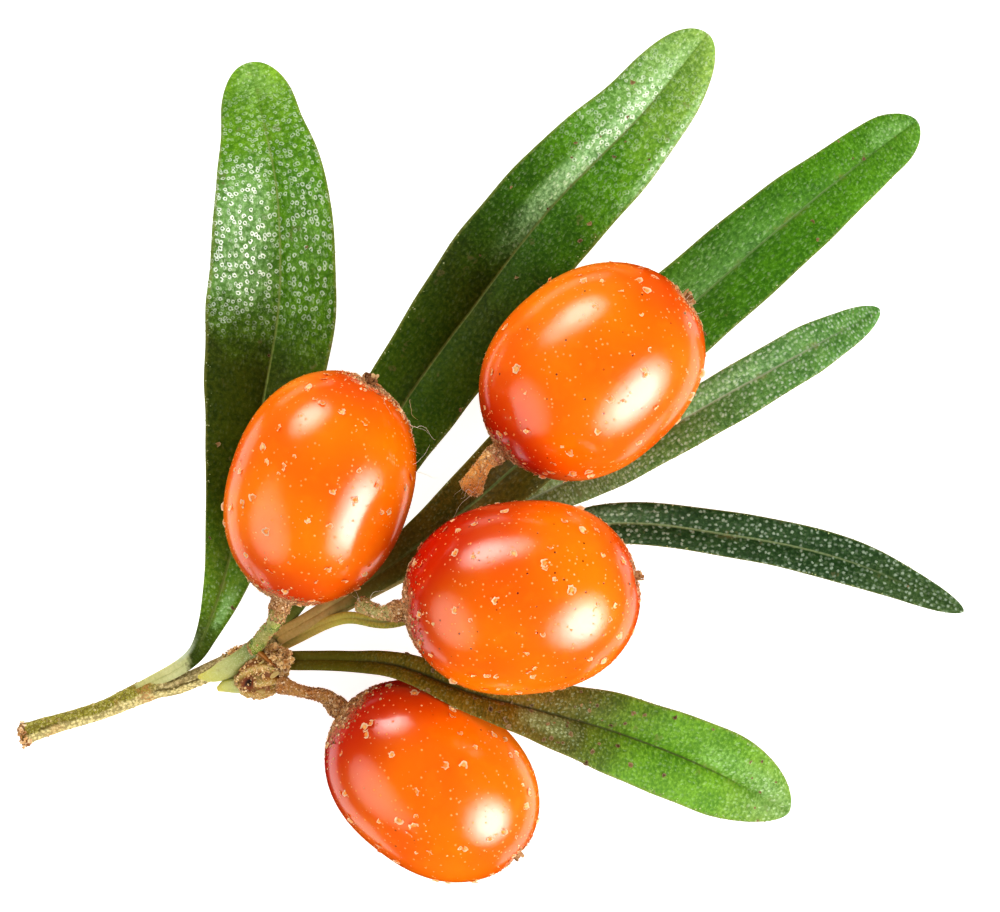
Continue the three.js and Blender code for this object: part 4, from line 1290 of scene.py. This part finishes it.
# The withered flower remnant: short curled lobes round a hollow, each a strip that narrows and bends inwards.
def calyxMesh(name, berry, material, draw):
    end, out = calyxPlace(berry)
    size = berry["calyx"][2]
    one = unit(np.cross(out, [0.2, 0.3, 0.93]))
    two = np.cross(out, one)
    lobes, rows = 11, 12
    u = np.linspace(0, 1, rows)
    turn = np.linspace(0, 2 * np.pi, lobes, endpoint=False) + draw.uniform(-0.25, 0.25, lobes)
    reach = size * draw.uniform(0.3, 0.6, lobes)
    lean = draw.uniform(0.3, 1.3, lobes)
    base = draw.uniform(0.02, 0.22, lobes)[:, None] * size
    alongOut = reach[:, None] * np.sin(2.1 * u[None] * lean[:, None]) * 0.8 - 0.14
    outward = base + reach[:, None] * 0.7 * u[None] * np.cos(1.2 * u[None])
    radial = one * np.cos(turn)[:, None] + two * np.sin(turn)[:, None]
    tangent = np.cross(out, radial)
    centre = end + out * alongOut[..., None] + radial[:, None] * outward[..., None]
    width = (0.19 * size * (1 - 0.55 * u**2) * (1 + 0.25 * np.sin(9 * u)))[None, :, None, None]
    angle = np.linspace(0, 2 * np.pi, 8, endpoint=False)
    section = tangent[:, None] * np.cos(angle)[None, :, None] + 0.6 * out * np.sin(angle)[None, :, None]
    rings = centre[:, :, None] + section[:, None] * width
    at = np.arange(lobes * rows * 8).reshape(lobes, rows, 8)
    turned = np.roll(at, -1, axis=2)
    quads = np.stack([at[:, :-1], at[:, 1:], turned[:, 1:], turned[:, :-1]], -1).reshape(-1, 4)
    caps = np.concatenate([at[:, 0], at[:, -1, ::-1]])
    quads = np.concatenate([quads, caps[:, [0, 1, 2, 7]], caps[:, [2, 3, 6, 7]], caps[:, [3, 4, 5, 6]]])
    shade = np.repeat(draw.uniform(0, 1, lobes), rows * 8)
    marks = {"flake": np.stack([shade, 0 * shade, 0 * shade], 1)}
    return meshPiece(name, rings.reshape(-1, 3), quads, np.zeros((0, 3), int), marks, material)


tanScale = flakeFinish(
    "tanScale",
    [(0, (0.8, 0.2, 0.01)), (0.6, (0.88, 0.32, 0.04)), (1, (0.92, 0.6, 0.25))],
    (1.0, 0.82, 0.55),
    roughness=0.55,
    gloss=0.3,
    rimShare=1.0,
)
dustScale = flakeFinish("dustScale", [(0, (0.45, 0.16, 0.03)), (1, (0.92, 0.55, 0.22))], (0.95, 0.6, 0.3))
witheredSkin = flakeFinish(
    "witheredSkin",
    [(0, (0.14, 0.05, 0.012)), (0.5, (0.34, 0.16, 0.055)), (1, (0.6, 0.38, 0.18))],
    (0.7, 0.5, 0.28),
)
hairSkin = flakeFinish("hairSkin", [(0, (0.5, 0.3, 0.16)), (1, (0.86, 0.78, 0.66))], (0.9, 0.85, 0.75), 0.4)

# Stalks: where each grows or broke off, its radii, how many scales of scurf, and its skin.

# straightEnd: the length before the berry that runs along its axis. sunk: how far it enters the berry's neck.
stalkShape = {"straightEnd": 0.6, "sunk": 0.1, "scurfSize": (0.025, 0.075), "seed": 70}
stalks = {
    "left": {
        "piece": "leftStalk", "slot": "green_stalk", "from": [[-11.3, -9.2, 3.6], [-10.8, -8.5, 4.6]],
        "radii": [0.42, 0.34, 0.36, 0.47], "scurf": 420, "skin": "green",
    },
    "upper": {
        "piece": "upperStalk", "slot": "rusty_stalk", "from": [[-0.95, -1.5, 5.5]],
        "radii": [0.56, 0.38, 0.47], "scurf": 520, "skin": "rusty",
    },
    "middle": {
        "piece": "middleStalk", "slot": "green_stalk", "from": [[-6.2, -7.05, 7.9]],
        "radii": [0.4, 0.33, 0.47], "scurf": 480, "skin": "dry",
    },
    "front": {
        "piece": "frontStalk", "slot": "rusty_stalk", "from": [[-10.1, -10.95, 3.6], [-9.1, -11.25, 4.05]],
        "radii": [0.46, 0.29, 0.34, 0.47], "scurf": 760, "skin": "dark",
    },
}
stalkSkins = {
    "green": scurfyFinish(
        "greenStalkSkin", (0.33, 0.36, 0.07), (0.08, 0.14, 0.01), (0.42, 0.36, 0.12), (0.8, 0.74, 0.4),
        grain=0.2, roughness=0.55, brownFrom=0.78,
    ),
    "dry": scurfyFinish(
        "dryStalkSkin", (0.42, 0.38, 0.14), (0.2, 0.19, 0.045), (0.5, 0.36, 0.13), (0.8, 0.72, 0.42),
        grain=0.14, roughness=0.7,
    ),
    "rusty": scurfyFinish(
        "rustyStalkSkin", (0.9, 0.42, 0.1), (0.42, 0.14, 0.016), (0.78, 0.45, 0.13), (0.95, 0.74, 0.42),
    ),
    "dark": scurfyFinish(
        "darkStalkSkin", (0.5, 0.2, 0.045), (0.2, 0.06, 0.008), (0.5, 0.26, 0.07), (0.85, 0.66, 0.42),
        brownFrom=0.8,
    ),
}

for number, (name, berry) in enumerate(berries.items()):
    draw = np.random.default_rng(berryShape["seed"] + number)
    rings, marks = berryRings(berry, berryShape, berryShape["lumpSeed"] + number)
    piece = ringPiece(name, rings, marks, berryFinish(name, berry, berryTones))
    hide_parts("berry_" + berry["node"])

    fromStalk, fromCalyx = marks["berryPlace"][..., 1], marks["berryPlace"][..., 2]
    nearEnds = np.exp(-((fromStalk / 3) ** 2)) + np.exp(-((fromCalyx / 2.5) ** 2))
    nearNeck = np.exp(-((fromStalk / (0.75 * berry["scurfReach"])) ** 2.5))
    nearNeck = nearNeck + 0.7 * np.exp(-((fromCalyx / 0.85) ** 2)) + tinyWeight
    scurfCount = int(berryShape["scurfPerReach"] * berry["scurfReach"])
    scatterScales(
        name + "Scales", "berry_skin", rings, 0.6 + nearEnds, berry["flakes"], berryShape["scaleSize"],
        tanScale, draw, sides=13, lift=0.12, curl=0.2, cup=0.22, sunk=0.1,
    )
    scatterScales(
        name + "Dust", "berry_skin", rings, 0.5 + nearEnds, berryShape["dust"], berryShape["dustSize"],
        dustScale, draw, curl=0.6,
    )
    scatterScales(
        name + "Scurf", "berry_skin", rings, nearNeck, scurfCount, berryShape["scurfSize"],
        brownScurf, draw, curl=0.6,
    )

    piece = calyxMesh(name + "Calyx", berry, witheredSkin, draw)
    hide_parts("calyx_" + berry["node"])
    nearEnd = np.exp(-((fromCalyx / 0.6) ** 2)) + tinyWeight
    places, normals = placesOn(rings, nearEnd, berryShape["calyxHairs"], draw)
    lengths = draw.uniform(*berryShape["hairLength"], berryShape["calyxHairs"])
    radius = berryShape["hairRadius"]
    piece = hairMesh(name + "CalyxHairs", places, normals, lengths, radius, hairSkin, draw)

    stalk = stalks[berry["node"]]
    start, axis = berryAxis(berry)[:2]
    neckEnd = start - axis * berryShape["neckLength"]
    line = [*stalk["from"], neckEnd - axis * stalkShape["straightEnd"], neckEnd + axis * stalkShape["sunk"]]
    seed = stalkShape["seed"] + number
    rings, marks = tubeRings(line, stalk["radii"], rows=90, sides=48, rough=0.07, frequency=5.0, seed=seed)
    piece = ringPiece(stalk["piece"], rings, {"wood": marks}, stalkSkins[stalk["skin"]])
    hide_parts("stalk_" + berry["node"])
    edges = np.abs(np.cos(2 * np.pi * marks[..., 1])) ** 3
    weights = (0.02 + edges if stalk["skin"] == "green" else 1 + 0 * edges) * (0.5 + marks[..., 0])
    weights = weights + 2.5 * (marks[..., 0] > 0.75) + 2 * (marks[..., 0] < 0.04)
    scurf = tuftScurf if stalk["skin"] == "rusty" else brownScurf
    scatterScales(
        stalk["piece"] + "Scurf", stalk["slot"], rings, weights, stalk["scurf"], stalkShape["scurfSize"],
        scurf, draw, curl=0.9,
    )
print("berries:", len(berries))

# A trail of scurf down the right side of the left berry, from its flower remnant. It falls off by
# exp(-(distance from the line / spread)^2) and thins out along the line.
trail = {
    "from": [-4.9, 3.3, 7.6], "to": [-3.0, 0.2, 6.6], "spread": 0.42,
    "count": 420, "size": (0.03, 0.1), "seed": 130,
}
draw = np.random.default_rng(trail["seed"])
rings = berryRings(berries["leftBerry"], berryShape, berryShape["lumpSeed"])[0]
first, last = np.array(trail["from"]), np.array(trail["to"])
share = np.clip((rings - first) @ (last - first) / ((last - first) @ (last - first)), 0, 1)
offTrail = np.linalg.norm(rings - first - share[..., None] * (last - first), axis=-1)
weights = np.exp(-((offTrail / (trail["spread"] * (1.5 - share))) ** 2)) * (1.2 - share) + tinyWeight
scatterScales(
    "leftBerryTrail", "berry_skin", rings, weights, trail["count"], trail["size"], brownScurf, draw, curl=0.7
)

# A few long curly hairs: where they start, how far they spread, which way they point and how many there are.
strayShape = {"length": (0.7, 1.9), "radius": 0.012, "seed": 110}
strayHairs = {
    "leftBerryHairs": {"from": [-4.1, 1.6, 8.2], "spread": 0.9, "out": [0.8, -0.3, 0.75], "count": 9},
    "leftBerryLowHairs": {"from": [-3.75, -0.4, 7.6], "spread": 0.5, "out": [0.9, 0.2, 0.5], "count": 4},
    "upperStalkHairs": {"from": [-0.9, -1.5, 6.0], "spread": 0.25, "out": [-0.6, -0.2, 0.8], "count": 6},
    "middleStalkHairs": {"from": [-6.0, -7.0, 8.3], "spread": 0.2, "out": [-0.4, 0.5, 0.7], "count": 4},
}
for number, (name, look) in enumerate(strayHairs.items()):
    draw = np.random.default_rng(strayShape["seed"] + number)
    places = look["from"] + draw.normal(0, look["spread"], (look["count"], 3)) * [0.6, 1, 0.3]
    normals = unit(look["out"] + draw.normal(0, 0.5, (look["count"], 3)))
    lengths = draw.uniform(*strayShape["length"], look["count"])
    radius = strayShape["radius"]
    piece = hairMesh(name, places, normals, lengths, radius, hairSkin, draw, wander=2.4, rows=26)

# Floor, light and camera

studio = {
    "floorSize": 3.0,
    "floorTone": 0.72,
    "floorGlow": 0.62,
    "airLight": 0.62,
    "cameraHeight": 420,
    "cameraOver": (0.46, 0.02),
    "lens": 312,
}
# Each light: degrees round from +X towards +Y, degrees up from the floor, distance and size (across, upright)
# in metres, radiance, what it does, and its form. One that is "both" brightens surfaces and shows in the
# gloss. One that is "gloss" only shows in the gloss, as the pale sides of a light tent do. Lights in one
# direction stand behind each other, so that their reflections add up. The panels shine up from below the
# floor, which doesn't show in the gloss. The air round the sprig brightens surfaces evenly.
lights = {
    "keyBox": (-35, 30, 0.5, (0.6, 0.56), 3.2, "both", "ELLIPSE"),
    "keyRing": (-35, 30, 0.49, (0.5, 0.47), 2.5, "gloss", "ELLIPSE"),
    "keyMiddle": (-35, 30, 0.48, (0.4, 0.37), 4.0, "gloss", "ELLIPSE"),
    "keyCore": (-35, 30, 0.47, (0.28, 0.26), 7.5, "gloss", "ELLIPSE"),
    "backBox": (114, 26, 0.5, (0.42, 0.34), 3.4, "both", "ELLIPSE"),
    "backMiddle": (114, 26, 0.49, (0.32, 0.26), 2.5, "gloss", "ELLIPSE"),
    "backCore": (114, 26, 0.48, (0.2, 0.16), 5.0, "gloss", "ELLIPSE"),
    "leftBox": (206, 24, 0.5, (0.62, 0.5), 1.3, "gloss", "ELLIPSE"),
    "leftMiddle": (206, 24, 0.49, (0.5, 0.38), 0.8, "gloss", "ELLIPSE"),
    "leftCore": (206, 24, 0.48, (0.36, 0.26), 0.7, "gloss", "ELLIPSE"),
    "leftPanel": (192, -37, 0.5, (0.74, 0.24), 1.4, "gloss", "RECTANGLE"),
    "rightPanel": (-14, -37, 0.5, (0.74, 0.26), 1.5, "gloss", "RECTANGLE"),
    "backPanel": (112, -26, 0.5, (0.36, 0.13), 1.0, "gloss", "RECTANGLE"),
}


def addFloor(look):
    finish = Finish("paleFloor", Specular_IOR_Level=0.2)
    glow = look["floorGlow"]
    finish.shader.inputs["Emission Color"].default_value = (1, 1, 1, 1)
    finish.shader.inputs["Emission Strength"].default_value = glow
    wear = finish.place().noise(60, 2)
    tone = look["floorTone"]
    colour = wear.blend((tone, tone, tone), (tone + 0.01,) * 3)
    half = look["floorSize"] / 2 / mm
    corners = np.array([[-half, -half, 0], [half, -half, 0], [half, half, 0], [-half, half, 0]])
    mesh = bpy.data.meshes.new("floor")
    mesh.from_pydata((corners * mm).tolist(), [], [(0, 1, 2, 3)])
    mesh.materials.append(finish.paint(colour, 0.8))
    floor = bpy.data.objects.new("floor", mesh)
    bpy.context.scene.collection.objects.link(floor)
    floor.visible_glossy = False
    floor.visible_shadow = False


# A flat light facing the sprig. Its power in watts is radiance x pi x area.
def addLight(name, turn, rise, distance, size, radiance, seen, form):
    turn, rise = math.radians(turn), math.radians(rise)
    away = np.array([math.cos(rise) * math.cos(turn), math.cos(rise) * math.sin(turn), math.sin(rise)])
    data = bpy.data.lights.new(name, "AREA")
    data.shape = form
    data.size, data.size_y = size
    area = data.size * data.size_y * (math.pi / 4 if form == "ELLIPSE" else 1)
    data.energy = radiance * math.pi * area
    lamp = bpy.data.objects.new(name, data)
    lamp.location = away * distance
    lamp.rotation_euler = (math.pi / 2 - rise, 0, turn + math.pi / 2)
    lamp.visible_camera = False
    lamp.visible_diffuse = seen == "both"
    bpy.context.scene.collection.objects.link(lamp)


def addCamera(look):
    data = bpy.data.cameras.new("camera")
    data.sensor_width, data.lens = 36, look["lens"]
    data.clip_start, data.clip_end = 0.01, 20
    camera = bpy.data.objects.new("camera", data)
    camera.location = (look["cameraOver"][0] * mm, look["cameraOver"][1] * mm, look["cameraHeight"] * mm)
    bpy.context.scene.collection.objects.link(camera)
    bpy.context.scene.camera = camera


addFloor(studio)
for name, look in lights.items():
    addLight(name, *look)
world = bpy.data.worlds.new("studioAir")
bpy.context.scene.world = world
world.use_nodes = True
world.node_tree.nodes["Background"].inputs["Color"].default_value = (1, 1, 1, 1)
world.node_tree.nodes["Background"].inputs["Strength"].default_value = studio["airLight"]
world.cycles_visibility.glossy = False
bpy.context.scene.view_settings.view_transform = "Standard"
bpy.context.scene.view_settings.look = "Medium High Contrast"
addCamera(studio)
print("studio: done")
